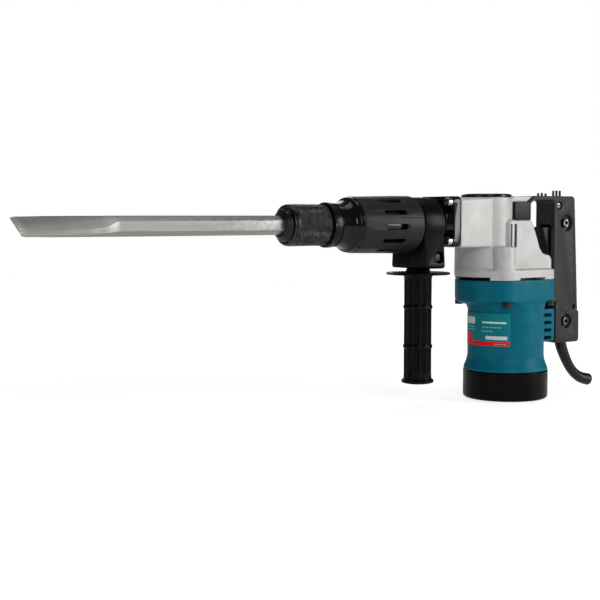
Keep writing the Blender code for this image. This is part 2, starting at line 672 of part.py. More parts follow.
def ring_part(name, inner, outer, low, high, finish, sides=MID):
    return turned(name, [(high, inner), (high, outer), (low, outer), (low, inner)], finish, "Z", (0, 0), sides, True)


def build_armature_parts():
    ring_part("armature_core", 5.3, 22, 50, 96, "steel")
    ring_part("commutator", 5.3, 14, 28, 44, "copper")
    ring_part("stator_core", 23.2, MOTOR_BORE_R - GAP, 52, 94, "steel")
    bearing("armature_bearing_upper", 0, (122, 130.5), 5.3, 13.0)
    bearing("armature_bearing_lower", 0, (4.0, 12.5), 5.3, 11.5)


def build_cooling_fan():
    """Radial fan: hub with twelve straight blades."""
    outline = []
    for k in range(12):
        middle = 30 * k
        for offset, radius in ((-9, 14), (-2.2, 35), (2.2, 35), (9, 14)):
            angle = radians(middle + offset)
            outline.append((radius * cos(angle), radius * sin(angle)))
    fan = prism("cooling_fan", outline, "XY", 103, 112, "base_plastic")
    return cut(fan, cylinder("cut_fan_bore", "Z", (0, 0), 5.3, 101, 114, sides=16))


def build_brushes():
    """Two carbon brushes on the commutator, each in an open holder."""
    for number, side in ((1, -1), (2, 1)):
        reach = sorted((side * 14.3, side * 28.0))
        box(f"carbon_brush_{number}", (-3.2, 3.2), reach, (32, 40), "carbon")
        outer = sorted((side * 17.0, side * 38.5))
        through = sorted((side * 15.0, side * 40.0))
        holder = box(f"brush_holder_{number}", (-6.5, 6.5), outer, (29, 43), "base_plastic")
        cut(holder, box(f"cut_brush_slot_{number}", (-3.5, 3.5), through, (31.7, 40.3)))


def build_nameplate():
    """Thin curved plate on the left front of the waist."""
    inner, outer = WAIST_R + GAP, WAIST_R + 1.0
    outline = arc(0, 0, outer, 148, 233, 16) + arc(0, 0, inner, 233, 148, 16)
    return prism("nameplate", outline, "XY", 61.5, 98.5, "label")


# ---------------------------------------------------------------- handles
BOLT_RECESS = 4.0              # depth of the round recess under each handle bolt's head
HANDLE_BOLTS = (("handle_bolt_upper", (81.0, AXIS_Z + 1), HANDLE_HALF_W, 10.0),
                ("handle_bolt_lower", (80.5, 84.0), BLOCK_HALF_W, 8.5))
POCKET_HALF_W = 9.5            # hollow of the grip
CORD_X = 88.0                  # cord entry in the handle's foot
TRIGGER_PIVOT = (69.0, AXIS_Z - 6)


def build_clamp():
    """Clamp round the barrel with a block below that carries the grip."""
    band = arc(0, AXIS_Z, 29.2, -24, 204, 22)
    block = [(-26.6, AXIS_Z - 44), (-23.8, AXIS_Z - 46.8), (23.8, AXIS_Z - 46.8), (26.6, AXIS_Z - 44)]
    body = prism("clamp", band + block, "YZ", CLAMP_FRONT_X, CLAMP_REAR_X, "rubber")
    return cut(body,
               cylinder("cut_clamp_seat", "X", (0, AXIS_Z), CLAMP_SEAT_R + GAP, CLAMP_FRONT_X - 2,
                        CLAMP_REAR_X + 2, sides=ROUND),
               box("cut_clamp_slit", (CLAMP_FRONT_X - 2, CLAMP_REAR_X + 2), (-0.8, 0.8),
                   (AXIS_Z - 37.5, AXIS_Z - 20)),
               cylinder("cut_clamp_bolt_hole", "Y", (GRIP_X + 6, AXIS_Z - 35), 3.4, -30, 30, sides=SMALL),
               cylinder("cut_clamp_bolt_pocket", "Y", (GRIP_X + 6, AXIS_Z - 35), 6.6, -30, -21.5, sides=MID),
               cylinder("cut_grip_stud_hole", "Z", (GRIP_X, 0), 4.4, AXIS_Z - 50, AXIS_Z - 39.5, sides=SMALL))


def build_clamp_bolt():
    profile = [(22, 0), (22, 2.9), (-21.8, 2.9), (-21.8, 5.8), (-26.2, 5.8), (-26.2, 0)]
    return turned("clamp_bolt", profile, "steel", "Y", (GRIP_X + 6, AXIS_Z - 35), SMALL)


def build_grip_stud():
    return cylinder("grip_stud", "Z", (GRIP_X, 0), 4.0, AXIS_Z - 95, AXIS_Z - 40, "steel", SMALL)


def build_side_grip():
    """Moulded grip: neck, guard disc, ringed barrel and end flange."""
    top = AXIS_Z - 46.8 - GAP
    disc = AXIS_Z - 50.9
    rings = (AXIS_Z - 89.0, AXIS_Z - 131.6)
    end = AXIS_Z - 171.0
    profile = [(top, 4.4), (top, 12.4), (disc, 13.4), (disc - 0.6, 34.2), (disc - 1.7, 34.8), (disc - 3.0, 34.2),
               (disc - 3.6, GRIP_R)]
    for z in rings:
        profile += [(z + 1.6, GRIP_R), (z + 1.0, GRIP_R + 0.8), (z - 1.0, GRIP_R + 0.8), (z - 1.6, GRIP_R)]
    profile += [(end + 7.5, GRIP_R), (end + 5.5, GRIP_R + 2.2), (end + 1.5, GRIP_R + 2.2), (end, GRIP_R + 0.6),
                (end, 0), (AXIS_Z - 96, 0), (AXIS_Z - 96, 4.4)]
    return turned("side_grip", profile, "rubber", "Z", (GRIP_X, 0), 20, True)


def handle_outline():
    """Side view of the rear handle: front leg, top, grip and lower block."""
    return rounded([
        (-2, AXIS_Z + 4.5, 0), (22, AXIS_Z + 4.5, 1), (22, AXIS_Z + 26.3, 9), (HANDLE_FRONT_X, AXIS_Z + 27.5, 6),
        (HANDLE_FRONT_X, 113, 3), (54, 112, 1), (54, 103.4, 1),
        (BLOCK_FRONT_X, 102, 2), (BLOCK_FRONT_X, HANDLE_BOTTOM_Z, 3), (102.5, HANDLE_BOTTOM_Z, 5), (102, 92, 30),
        (94.5, HANDLE_TOP_Z, 5), (30, HANDLE_TOP_Z, 1), (19.5, AXIS_Z + 24.5, 0), (-2, AXIS_Z + 24.5, 0)])


def pocket_outline():
    """Hollow inside the grip, kept one wall thickness from the outline."""
    return [(65, AXIS_Z + 22), (65, 66), (97, 66), (97, 92), (90, AXIS_Z + 22)]


def build_handle_half(name, side):
    """One moulded half; side is -1 for the left half, 1 for the right."""
    split = side * GAP / 2
    face = side * HANDLE_HALF_W
    body = prism(name, handle_outline(), "XZ", split, face, "handle_plastic")
    block_outline = rounded([(BLOCK_FRONT_X, HANDLE_BOTTOM_Z, 3), (102.5, HANDLE_BOTTOM_Z, 5), (102, 96, 2),
                             (91, 97, 4), (67, 108, 2), (BLOCK_FRONT_X, 108, 1)])
    block = prism(name + "_block", block_outline, "XZ", face - side, side * BLOCK_HALF_W)
    join(body, block)
    cut(body,
        prism(name + "_pocket", pocket_outline(), "XZ", -side, side * POCKET_HALF_W),
        box(name + "_trigger_slot", (HANDLE_FRONT_X - 4, 67), sorted((-side, side * 9.6)),
            (AXIS_Z - 38, AXIS_Z - 1)),
        cylinder(name + "_cord_hole", "Z", (CORD_X, 0), 7.2, 50, 70, sides=MID),
        cylinder(name + "_pivot_hole", "Y", TRIGGER_PIVOT, 1.9, -14, 14, sides=SMALL))
    for bolt, place, outside, recess in HANDLE_BOLTS:
        cut(body, cylinder(f"{name}_{bolt}_hole", "Y", place, 2.7, -20, 20, sides=SMALL))
        if side < 0:
            floor = BOLT_RECESS - outside
            cut(body, cylinder(f"{name}_{bolt}_recess", "Y", place, recess, -20, floor, sides=MID))
    return body


def build_handle_bolts():
    for name, place, outside, recess in HANDLE_BOLTS:
        seat = BOLT_RECESS - outside - GAP
        profile = [(outside - 3, 0), (outside - 3, 2.3), (seat, 2.3), (seat, 5.2), (seat - 3.5, 5.2),
                   (seat - 3.5, 2.4), (seat - 1.3, 2.4), (seat - 1.3, 0)]
        turned(name, profile, "steel", "Y", place, SMALL)


def build_trigger():
    """Trigger that swings on a pin at its top; front face leans back."""
    outline = rounded([(48, AXIS_Z - 4, 2), (58.5, AXIS_Z - 35, 2), (63, AXIS_Z - 36, 1), (66, AXIS_Z - 12, 0),
                       (72, AXIS_Z - 9, 2), (72, AXIS_Z - 3, 2)], 2)
    body = prism("trigger", outline, "XZ", -9.0, 9.0, "base_plastic")
    return cut(body, cylinder("cut_trigger_pivot", "Y", TRIGGER_PIVOT, 1.8, -12, 12, sides=SMALL))


def build_trigger_pin():
    return cylinder("trigger_pin", "Y", TRIGGER_PIVOT, 1.5, -13, 13, "steel", SMALL)


def build_switch_body():
    return box("switch_body", (74, 89), (-8, 8), (AXIS_Z - 62, AXIS_Z - 16), "base_plastic")


def build_cord_guard():
    """Bent rubber guard, a collar inside the handle and a flared end."""
    route = [(CORD_X, 73), (CORD_X, 62), (89.3, 55.5), (93.5, 46.5), (99, 36.5), (105.5, 26.8), (114, 18),
             (125, 12), (137, 9.6)]
    radii = [6.6, 6.6, 6.6, 6.2, 5.9, 5.7, 5.6, 5.8, 7.2]
    curve = bpy.data.curves.new("cord_guard", "CURVE")
    curve.dimensions = "3D"
    curve.bevel_depth = MM
    curve.bevel_resolution = 3
    curve.use_fill_caps = True
    spline = curve.splines.new("POLY")
    spline.points.add(len(route) - 1)
    for point, (x, z), radius in zip(spline.points, route, radii):
        point.co = (x * MM, 0.0, z * MM, 1.0)
        point.radius = radius
    mesh = mesh_of_curve(curve, "cord_guard")
    shade(mesh)
    body = add_object("cord_guard", mesh, "rubber")
    collar = cylinder("join_guard_collar", "Z", (CORD_X, 0), 8.5, 71, 75, sides=MID)
    return join(body, collar)


def build_all():
    build_flat_chisel()
    build_tool_holder()
    build_nose_seal()
    build_lock_sleeve()
    build_stop_ring()
    build_lock_roller()
    build_barrel()
    build_barrel_screws()
    build_barrel_cover()
    build_cylinder_liner()
    build_bolt_guide()
    build_impact_damper()
    build_impact_bolt()
    build_striker()
    seal_ring("striker_seal", -132)
    build_piston()
    seal_ring("piston_seal", WRIST_X - 19)
    build_wrist_pin()
    build_connecting_rod()
    build_crankshaft()
    build_drive_gear()
    bearing("crank_bearing_lower", CRANK_X, CRANK_BEARING_Z[0], 8.0, 14.0)
    bearing("crank_bearing_upper", CRANK_X, CRANK_BEARING_Z[1], 8.0, 14.0)
    build_crank_housing()
    build_crank_cap()
    build_motor_housing()
    build_motor_screws()
    build_base_cap()
    build_bearing_plate()
    build_armature_shaft()
    build_armature_parts()
    build_cooling_fan()
    build_brushes()
    build_nameplate()
    build_clamp()
    build_clamp_bolt()
    build_grip_stud()
    build_side_grip()
    build_handle_half("handle_left", -1)
    build_handle_half("handle_right", 1)
    build_handle_bolts()
    build_trigger()
    build_trigger_pin()
    build_switch_body()
    build_cord_guard()


clear_scene()
PARTS = make_collection("Electric demolition hammer")
CUTTERS = make_collection("Cutters")
build_all()
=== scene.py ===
"""Looks of the electric demolition hammer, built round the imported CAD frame.

Sizes are in millimetres in the row frame (origin under the motor, +Z up, the
chisel points along -X) and become metres when a mesh is made.
"""
from math import ceil, cos, degrees, pi, radians, sin, sqrt, tan

import bmesh
import bpy
from mathutils import Matrix, Vector
from mathutils.geometry import convex_hull_2d


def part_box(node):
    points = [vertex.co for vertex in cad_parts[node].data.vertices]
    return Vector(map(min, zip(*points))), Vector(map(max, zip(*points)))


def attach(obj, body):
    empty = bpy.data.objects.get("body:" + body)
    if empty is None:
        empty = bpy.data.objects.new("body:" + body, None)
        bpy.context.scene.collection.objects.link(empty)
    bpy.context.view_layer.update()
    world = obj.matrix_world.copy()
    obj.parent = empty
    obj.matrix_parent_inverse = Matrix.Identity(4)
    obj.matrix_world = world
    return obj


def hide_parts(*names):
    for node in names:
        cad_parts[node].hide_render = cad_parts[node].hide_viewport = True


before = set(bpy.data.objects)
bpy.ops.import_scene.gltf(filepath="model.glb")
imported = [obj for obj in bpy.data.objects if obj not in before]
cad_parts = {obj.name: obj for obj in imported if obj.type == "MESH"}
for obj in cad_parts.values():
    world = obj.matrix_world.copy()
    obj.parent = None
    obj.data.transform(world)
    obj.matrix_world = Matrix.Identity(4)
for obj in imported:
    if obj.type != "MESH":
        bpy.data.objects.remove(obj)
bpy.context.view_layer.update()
MM = 0.001


# ---- places from the frame
def limits(node):
    """Lowest and highest corner of a CAD node, in millimetres."""
    low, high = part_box(node)
    return low / MM, high / MM


def middle(node):
    """Middle of a CAD node's box."""
    low, high = limits(node)
    return (low + high) / 2


AXIS = middle("cylinder_liner").z  # height of the tool axis
SLEEVE_LOW, SLEEVE_HIGH = limits("lock_sleeve")
SLEEVE_R = (SLEEVE_HIGH.z - SLEEVE_LOW.z) / 2
HOLDER_FRONT = limits("tool_holder")[0].x
COLLAR_FRONT = SLEEVE_HIGH.x + 2.2  # collar of the tool holder, behind the sleeve
COVER_LOW, COVER_HIGH = limits("barrel_cover")
COVER_R = (COVER_HIGH.z - COVER_LOW.z) / 2
CLAMP_LOW, CLAMP_HIGH = limits("clamp")
GRIP_X = middle("side_grip").x
GRIP_LOW, GRIP_HIGH = limits("side_grip")
CASTING_LOW = limits("crank_housing")[0]
SEAT = CASTING_LOW.z  # joint between motor and casting
CASTING_FRONT = CASTING_LOW.x
FLANGE_REAR = CASTING_FRONT - 0.3
FLANGE_FRONT = FLANGE_REAR - 10
CRANK_X = middle("crank_cap").x
CAP_TOP = limits("crank_cap")[1].z
MOTOR_LOW, MOTOR_HIGH = limits("motor_housing")
BASE_LOW, BASE_HIGH = limits("base_cap")
BASE_R = (BASE_HIGH.y - BASE_LOW.y) / 2
HANDLE_LOW, HANDLE_HIGH = limits("handle_left")
CHISEL_LOW, CHISEL_HIGH = limits("flat_chisel")


# ---- mesh helpers
STRAIGHT = radians(88)  # half angle above which a corner is left alone
EDGE_SHARE = 0.49  # most of an edge that one arc may use
WELD = 0.0005  # points closer than this become one


def fillet(points, radius=0, closed=True, step=12, steps=None):
    """Outline through (u, v) or (u, v, radius) corners, each rounded by an arc.

    An arc has a fixed count of steps, or one step for every so many degrees.
    """
    outline = []
    count = len(points)
    for i, point in enumerate(points):
        here = Vector(point[:2])
        size = point[2] if len(point) > 2 else radius
        if size <= 0 or (not closed and i in (0, count - 1)):
            outline.append(here)
            continue
        before = Vector(points[i - 1][:2]) - here
        after = Vector(points[(i + 1) % count][:2]) - here
        half = before.angle(after) / 2
        if half > STRAIGHT:
            outline.append(here)
            continue
        reach = min(size / tan(half), EDGE_SHARE * before.length, EDGE_SHARE * after.length)
        centre = here + (before.normalized() + after.normalized()).normalized() * (reach / cos(half))
        first = here + before.normalized() * reach - centre
        turn = first.angle_signed(here + after.normalized() * reach - centre)
        parts = steps or max(2, ceil(abs(degrees(turn)) / step))
        for k in range(parts + 1):
            outline.append(centre + Matrix.Rotation(-turn * k / parts, 2) @ first)
    return outline


def rectangle(u, v, radius=0):
    """Rectangle between two places each way, with its corners rounded."""
    return fillet([(u[0], v[0]), (u[1], v[0]), (u[1], v[1]), (u[0], v[1])], radius)


def arc(cx, cy, radius, start, end, step=6):
    """Points on an arc from one angle to another, in degrees."""
    steps = max(2, ceil(abs(end - start) / step))
    angles = [radians(start + (end - start) * k / steps) for k in range(steps + 1)]
    return [Vector((cx + radius * cos(a), cy + radius * sin(a))) for a in angles]


def inset(outline, distance):
    """A counter-clockwise outline moved inwards by a distance."""
    moved = []
    count = len(outline)
    for i in range(count):
        here = outline[i]
        before = (here - outline[i - 1]).normalized()
        after = (outline[(i + 1) % count] - here).normalized()
        normals = Vector((before.y, -before.x)), Vector((after.y, -after.x))
        miter = (normals[0] + normals[1]) / (1 + max(-0.5, normals[0].dot(normals[1])))
        moved.append(here - miter * distance)
    return moved


PLANES = {"XY": lambda u, v, w: (u, v, w), "XZ": lambda u, v, w: (u, w, v), "YZ": lambda u, v, w: (w, u, v)}
AXES = {"X": lambda a, u, v: (a, u, v), "Y": lambda a, u, v: (u, a, v), "Z": lambda a, u, v: (u, v, a)}


def finish_mesh(name, bm, sharp=35):
    """Object in the scene from a mesh in millimetres, shaded smooth but for sharp edges."""
    bmesh.ops.remove_doubles(bm, verts=bm.verts, dist=WELD)
    bmesh.ops.recalc_face_normals(bm, faces=bm.faces)
    bmesh.ops.scale(bm, vec=(MM, MM, MM), verts=bm.verts)
    mesh = bpy.data.meshes.new(name)
    bm.to_mesh(mesh)
    bm.free()
    obj = bpy.data.objects.new(name, mesh)
    bpy.context.scene.collection.objects.link(obj)
    smooth(obj, sharp)
    return obj


def smooth(obj, sharp=35):
    """Smooth shading but for edges sharper than so many degrees."""
    obj.data.shade_smooth()
    obj.data.set_sharp_from_angle(angle=radians(sharp))
    return obj


def bridge(bm, rings, ends=True):
    """Faces between rings of vertices that all have the same count."""
    count = len(rings[0])
    for lower, upper in zip(rings, rings[1:]):
        for i in range(count):
            j = (i + 1) % count
            bm.faces.new((lower[i], lower[j], upper[j], upper[i]))
    if ends:
        bm.faces.new(rings[0])
        bm.faces.new(rings[-1])


def slab(name, outline, plane, low, high, rim=1, steps=3, rims=(True, True)):
    """Flat outline made solid between two places along its normal, with rounded rims."""
    outline = [Vector(p) for p in outline]
    area = sum(a.x * b.y - b.x * a.y for a, b in zip(outline, outline[1:] + outline[:1]))
    outline = outline if area > 0 else outline[::-1]
    low, high = min(low, high), max(low, high)
    levels = []
    for end, side, rounded in ((low, 1, rims[0]), (high, -1, rims[1])):
        turns = [radians(90 * k / steps) for k in range(steps + 1)] if rounded and rim > 0 else [radians(90)]
        part = [(rim * (1 - sin(a)), end + side * (rim * (1 - cos(a)) if rounded else 0)) for a in turns]
        levels += part if side > 0 else part[::-1]
    bm = bmesh.new()
    rings = []
    for distance, place in levels:
        ring = inset(outline, distance) if distance > 0 else outline
        rings.append([bm.verts.new(PLANES[plane](p.x, p.y, place)) for p in ring])
    bridge(bm, rings)
    return finish_mesh(name, bm)


def lathe(name, profile, axis="X", centre=None, sides=96, ripple=None, closed=False, sharp=35):
    """Turned piece from (along, radius) points; ripple(angle, along, radius) may vary the radius."""
    u, v = centre if centre is not None else (0, AXIS)
    bm = bmesh.new()
    columns = []
    for k in range(sides):
        angle = 2 * pi * k / sides
        column = []
        for along, radius in profile:
            size = ripple(angle, along, radius) if ripple else radius
            column.append(bm.verts.new(AXES[axis](along, u + size * cos(angle), v + size * sin(angle))))
        columns.append(column)
    last = len(profile) - (0 if closed else 1)
    for one, other in zip(columns, columns[1:] + columns[:1]):
        for i in range(last):
            j = (i + 1) % len(profile)
            if profile[i][1] + profile[j][1] > 0:
                bm.faces.new((one[i], one[j], other[j], other[i]))
    return finish_mesh(name, bm, sharp)


def rod(name, axis, centre, radius, low, high, sides=32, chamfer=0):
    """Solid cylinder along an axis."""
    profile = [(high, 0), (high, radius - chamfer), (high - chamfer, radius), (low + chamfer, radius),
               (low, radius - chamfer), (low, 0)]
    return lathe(name, profile, axis, centre, sides)


def block(name, x, y, z, bevel=0, segments=2):
    """Box between two places each way, with rounded edges if it has a bevel."""
    bm = bmesh.new()
    bmesh.ops.create_cube(bm, size=1)
    bmesh.ops.scale(bm, vec=(x[1] - x[0], y[1] - y[0], z[1] - z[0]), verts=bm.verts)
    bmesh.ops.translate(bm, vec=((x[0] + x[1]) / 2, (y[0] + y[1]) / 2, (z[0] + z[1]) / 2), verts=bm.verts)
    if bevel:
        bmesh.ops.bevel(bm, geom=bm.edges[:], offset=bevel, segments=segments, affect="EDGES", profile=0.5)
    return finish_mesh(name, bm)


def freeze(obj):
    """Applies the modifiers to the mesh."""
    bpy.context.view_layer.update()
    graph = bpy.context.evaluated_depsgraph_get()
    mesh = bpy.data.meshes.new_from_object(obj.evaluated_get(graph))
    obj.modifiers.clear()
    old = obj.data
    obj.data = mesh
    bpy.data.meshes.remove(old)
    return obj


def boolean(obj, operation, others):
    """Combines a solid with others, which are used up."""
    for other in others:
        mod = obj.modifiers.new(other.name, "BOOLEAN")
        mod.operation = operation
        mod.solver = "EXACT"
        mod.object = other
    freeze(obj)
    for other in others:
        bpy.data.objects.remove(other, do_unlink=True)
    return obj


def cut(obj, *others):
    return boolean(obj, "DIFFERENCE", others)


def join(obj, *others):
    return boolean(obj, "UNION", others)


def soften(obj, voxel, rounds):
    """Rebuilds a solid on a fine even grid and smooths it, which rounds every edge and corner."""
    mod = obj.modifiers.new("Even grid", "REMESH")
    mod.mode = "VOXEL"
    mod.voxel_size = voxel * MM
    mod.use_smooth_shade = True
    mod = obj.modifiers.new("Rounding", "SMOOTH")
    mod.factor = 0.5
    mod.iterations = rounds
    return smooth(freeze(obj), 60)


def ease_edges(obj, width, segments=2, angle=40):
    """Narrow rounding along every edge sharper than so many degrees."""
    mod = obj.modifiers.new("Eased edges", "BEVEL")
    mod.width = width * MM
    mod.segments = segments
    mod.limit_method = "ANGLE"
    mod.angle_limit = radians(angle)
    mod.use_clamp_overlap = True
    return smooth(freeze(obj))


REPLACED = set()


def place(obj, body, slot, material, *nodes):
    """Gives a piece its material, its body and the CAD nodes that it stands for; the slot is not used."""
    obj.data.materials.clear()
    obj.data.materials.append(material)
    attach(obj, body)
    if nodes:
        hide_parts(*nodes)
        REPLACED.update(nodes)


# ---- materials
COLOUR_INPUTS = (6, 7)  # sockets A and B of a Mix node set to colour
COLOUR_OUTPUT = 2


class Surface:
    """Node material with object coordinates, built up layer by layer."""

    def __init__(self, name, colour, metallic=0, specular=0.5):
        self.material = bpy.data.materials.new(name)
        self.material.use_nodes = True
        self.tree = self.material.node_tree
        self.shader = self.tree.nodes["Principled BSDF"]
        self.colour = colour
        self.set("Base Color", (*colour, 1))
        self.set("Metallic", metallic)
        self.set("Specular IOR Level", specular)
        self.place = self.add("ShaderNodeTexCoord").outputs["Object"]

    def set(self, socket, value):
        self.shader.inputs[socket].default_value = value

    def add(self, kind, **values):
        made = self.tree.nodes.new(kind)
        for socket, value in values.items():
            made.inputs[socket.replace("_", " ")].default_value = value
        return made

    def link(self, source, target):
        self.tree.links.new(source, target)

    def noise(self, scale, detail=4, stretch=None, rough=0.55):
        """Noise value with a scale in features per metre; stretch squeezes it along axes."""
        made = self.add("ShaderNodeTexNoise", Scale=scale, Detail=detail, Roughness=rough)
        if stretch:
            mapping = self.add("ShaderNodeMapping", Scale=stretch)
            self.link(self.place, mapping.inputs["Vector"])
            self.link(mapping.outputs["Vector"], made.inputs["Vector"])
        else:
            self.link(self.place, made.inputs["Vector"])
        return made.outputs["Fac"]

    def ranged(self, value, low, high, start=0.3, end=0.7):
        """Value that goes from low to high as another goes from start to end."""
        made = self.add("ShaderNodeMapRange")
        for socket, number in (("From Min", start), ("From Max", end), ("To Min", low), ("To Max", high)):
            made.inputs[socket].default_value = number
        self.link(value, made.inputs["Value"])
        return made.outputs["Result"]

    def mix(self, factor, one, other):
        made = self.tree.nodes.new("ShaderNodeMix")
        made.data_type = "RGBA"
        for index, source in zip(COLOUR_INPUTS, (one, other)):
            if isinstance(source, tuple):
                made.inputs[index].default_value = (*source, 1)
            else:
                self.link(source, made.inputs[index])
        self.link(factor, made.inputs[0])
        return made.outputs[COLOUR_OUTPUT]

    def mottle(self, dark, light, scale=60, stretch=None):
        """Colour that varies between two shares of the base colour."""
        low = tuple(c * dark for c in self.colour)
        high = tuple(min(1, c * light) for c in self.colour)
        value = self.ranged(self.noise(scale, 6, stretch), 0, 1)
        return self.blend(value, low, high)

    def blend(self, factor, one, other):
        """Sets the base colour to a mix of two."""
        self.tone = self.mix(factor, one, other)
        self.link(self.tone, self.shader.inputs["Base Color"])
        return self

    def worn_and_highlit_edges(self, colour, start=0.53, end=0.62, amount=1):
        """Lighter colour along convex edges, broken up by noise: partly edge wear, partly a painted
        highlight.
        """
        point = self.add("ShaderNodeNewGeometry").outputs["Pointiness"]
        edge = self.ranged(point, 0, amount, start, end)
        patchy = self.ranged(self.noise(220, 5), 0, 1, 0.42, 0.6)
        both = self.add("ShaderNodeMath")
        both.operation = "MULTIPLY"
        both.use_clamp = True
        self.link(edge, both.inputs[0])
        self.link(patchy, both.inputs[1])
        return self.blend(both.outputs[0], self.tone, colour)

    def sheen_of(self, low, high, scale=90, stretch=None):
        """Roughness that varies over the surface."""
        self.link(self.ranged(self.noise(scale, 5, stretch), low, high), self.shader.inputs["Roughness"])
        return self

    def relief(self, *layers):
        """Bump layers, each (scale, height in millimetres, strength) with or without a stretch."""
        normal = None
        for scale, height, strength, *stretch in layers:
            bump = self.add("ShaderNodeBump", Strength=strength, Distance=height * MM)
            self.link(self.noise(scale, 3, *stretch), bump.inputs["Height"])
            if normal:
                self.link(normal, bump.inputs["Normal"])
            normal = bump.outputs["Normal"]
        self.link(normal, self.shader.inputs["Normal"])
        return self


def grey(value):
    """Colour with three equal parts."""
    return (value, value, value)


def layered(name, colour, mottle, sheen, relief, metallic=0, specular=0.5, wear_and_highlight=None):
    """Material from a mottled colour, edges lightened by wear and painted highlight, a range of roughness and
    bump layers.
    """
    made = Surface(name, colour, metallic, specular).mottle(*mottle)
    if wear_and_highlight:
        made.worn_and_highlit_edges(*wear_and_highlight)
    return made.sheen_of(*sheen).relief(*relief).material


def moulding(name, colour, low, high, grain=1, wear_and_highlight=None, specular=0.3):
    """Moulded plastic or rubber with a fine spark-eroded grain."""
    layers = (1700, 0.035 * grain, 0.5), (600, 0.03 * grain, 0.3)
    # Lighter edges: partly wear, partly a painted highlight.
    edges = (wear_and_highlight, 0.52, 0.62, 0.5) if wear_and_highlight else None
    return layered(name, colour, (0.86, 1.12, 45), (low, high, 70), layers, specular=specular, wear_and_highlight=edges)


def printed(name, colour):
    """Satin print on the name plate."""
    return layered(name, colour, (0.9, 1.08, 60), (0.34, 0.46), [(900, 0.01, 0.25)], specular=0.12)


def chisel_steel():
    """Forged bar: warm grey, brushed along its length, with darker scale patches."""
    along = (0.05, 1, 1)
    made = Surface("chisel_steel", (0.42, 0.41, 0.39), 0.85).mottle(0.62, 1.12, 70, along)
    patches = made.ranged(made.noise(28, 7, (0.35, 1, 1)), 0, 0.5, 0.5, 0.72)
    # Lighter convex edges: partly wear, partly a painted edge highlight.
    made.blend(patches, made.tone, (0.17, 0.15, 0.13)).worn_and_highlit_edges((0.85, 0.83, 0.80), 0.525, 0.575, 0.8)
    made.sheen_of(0.3, 0.46, 120, along)
    return made.relief((900, 0.03, 0.6, along), (140, 0.12, 0.4)).material


def cast_aluminium():
    """Tumbled casting: bright, slightly pebbled, with painted shade in its hollows."""
    made = Surface("cast_aluminium", (0.56, 0.555, 0.54), 0.1, 0.35).mottle(0.9, 1.06, 55)
    # Painted shade darkens concave places; lighter edges are partly wear and partly a painted highlight.
    point = made.add("ShaderNodeNewGeometry").outputs["Pointiness"]
    painted_hollow_shade = made.ranged(point, 0.55, 0, 0.42, 0.495)
    made.blend(painted_hollow_shade, made.tone, (0.17, 0.17, 0.16)).worn_and_highlit_edges((0.85, 0.85, 0.84), 0.51, 0.57, 0.5)
    return made.sheen_of(0.4, 0.54, 80).relief((650, 0.05, 0.35), (2100, 0.03, 0.35)).material


CHISEL = chisel_steel()
CASTING = cast_aluminium()
# Black oxide; its lighter edges are partly wear and partly a painted highlight and glint.
OXIDE = layered("black_oxide", (0.016, 0.016, 0.015), (0.7, 1.25, 90), (0.22, 0.34), [(1300, 0.02, 0.35)],
                0.7, wear_and_highlight=((0.42, 0.41, 0.38), 0.52, 0.6, 0.9))
GLOSS = layered("gloss_black_enamel", grey(0.003), (0.7, 1.5, 50), (0.08, 0.17, 60),
               [(110, 0.06, 0.25), (1400, 0.01, 0.2)], specular=0.32, wear_and_highlight=(grey(0.06), 0.53, 0.62, 0.6))
ZINC = layered("zinc_plated_steel", (0.60, 0.60, 0.58), (0.7, 1.12, 160), (0.18, 0.36, 200),
              [(1200, 0.02, 0.35)], 1)
COPPER = layered("commutator_copper", (0.72, 0.36, 0.18), (0.75, 1.1, 150), (0.22, 0.42),
                [(1100, 0.02, 0.4, (1, 1, 0.05))], 1)
FINE = (1, 1, 0.04)  # stretch of ground lines along Z
STEEL = layered("machined_steel", (0.50, 0.49, 0.47), (0.72, 1.12, 120, FINE), (0.22, 0.4, 160, FINE),
               [(1500, 0.02, 0.5, FINE), (180, 0.05, 0.35)], 1)
COVER = moulding("cover_plastic", (0.014, 0.017, 0.0163), 0.34, 0.46, 0.7, (0.05, 0.06, 0.06), 0.2)
GRIP = moulding("grip_moulding", grey(0.0025), 0.28, 0.4, 0.6, grey(0.02), 0.11)
RUBBER = moulding("black_rubber", grey(0.0045), 0.22, 0.36, 0.5, None, 0.36)
HANDLE = moulding("handle_plastic", (0.026, 0.028, 0.0275), 0.42, 0.58, 1.3, grey(0.07), 0.2)
BLACK = moulding("black_plastic", grey(0.006), 0.32, 0.46, 0.8, grey(0.04), 0.2)
BASE = moulding("base_plastic", (0.0025, 0.002, 0.0015), 0.20, 0.32, 0.5, None, 0.1)
TEAL = moulding("teal_plastic", (0, 0.135, 0.20), 0.36, 0.5, 0.9, (0, 0.18, 0.25), 0.1)
CARBON = moulding("carbon", grey(0.02), 0.55, 0.75, 1)
LABEL = printed("label_teal", (0.003, 0.215, 0.245))
LABEL_RED = printed("label_red", (0.92, 0.004, 0.008))
LABEL_WHITE = printed("label_white", (0.72, 0.78, 0.78))
LABEL_INK = printed("label_ink", (0.25, 0.52, 0.54))


# ---- chisel
HEX_FLAT = 8.5  # half the shank's width across flats
HEX_CORNER = HEX_FLAT / cos(radians(30))
BLADE_TURN = radians(30)
CORNER_STEPS = 4
BLADE = 97  # from the edge back to where the forging starts
RING_GAP = 4  # between the rings of the blade
ROLLER_NOTCH = (-6.3, 16.3)  # ends of the flat for the roller, from the roller's middle


def chisel_section(across, thick, tip, radius):
    """Flattened hexagon with rounded corners; its long direction leans by BLADE_TURN."""
    corners = [(across, 0), (tip, thick), (-tip, thick), (-across, 0), (-tip, -thick), (tip, -thick)]
    lean = Matrix.Rotation(BLADE_TURN, 2)
    return [lean @ Vector((-p.x, p.y)) for p in fillet(corners, radius, steps=CORNER_STEPS)]


def eased(a, b, t):
    """Value between two others that starts and stops gently."""
    t = t * t * (3 - 2 * t)
    return a + (b - a) * t


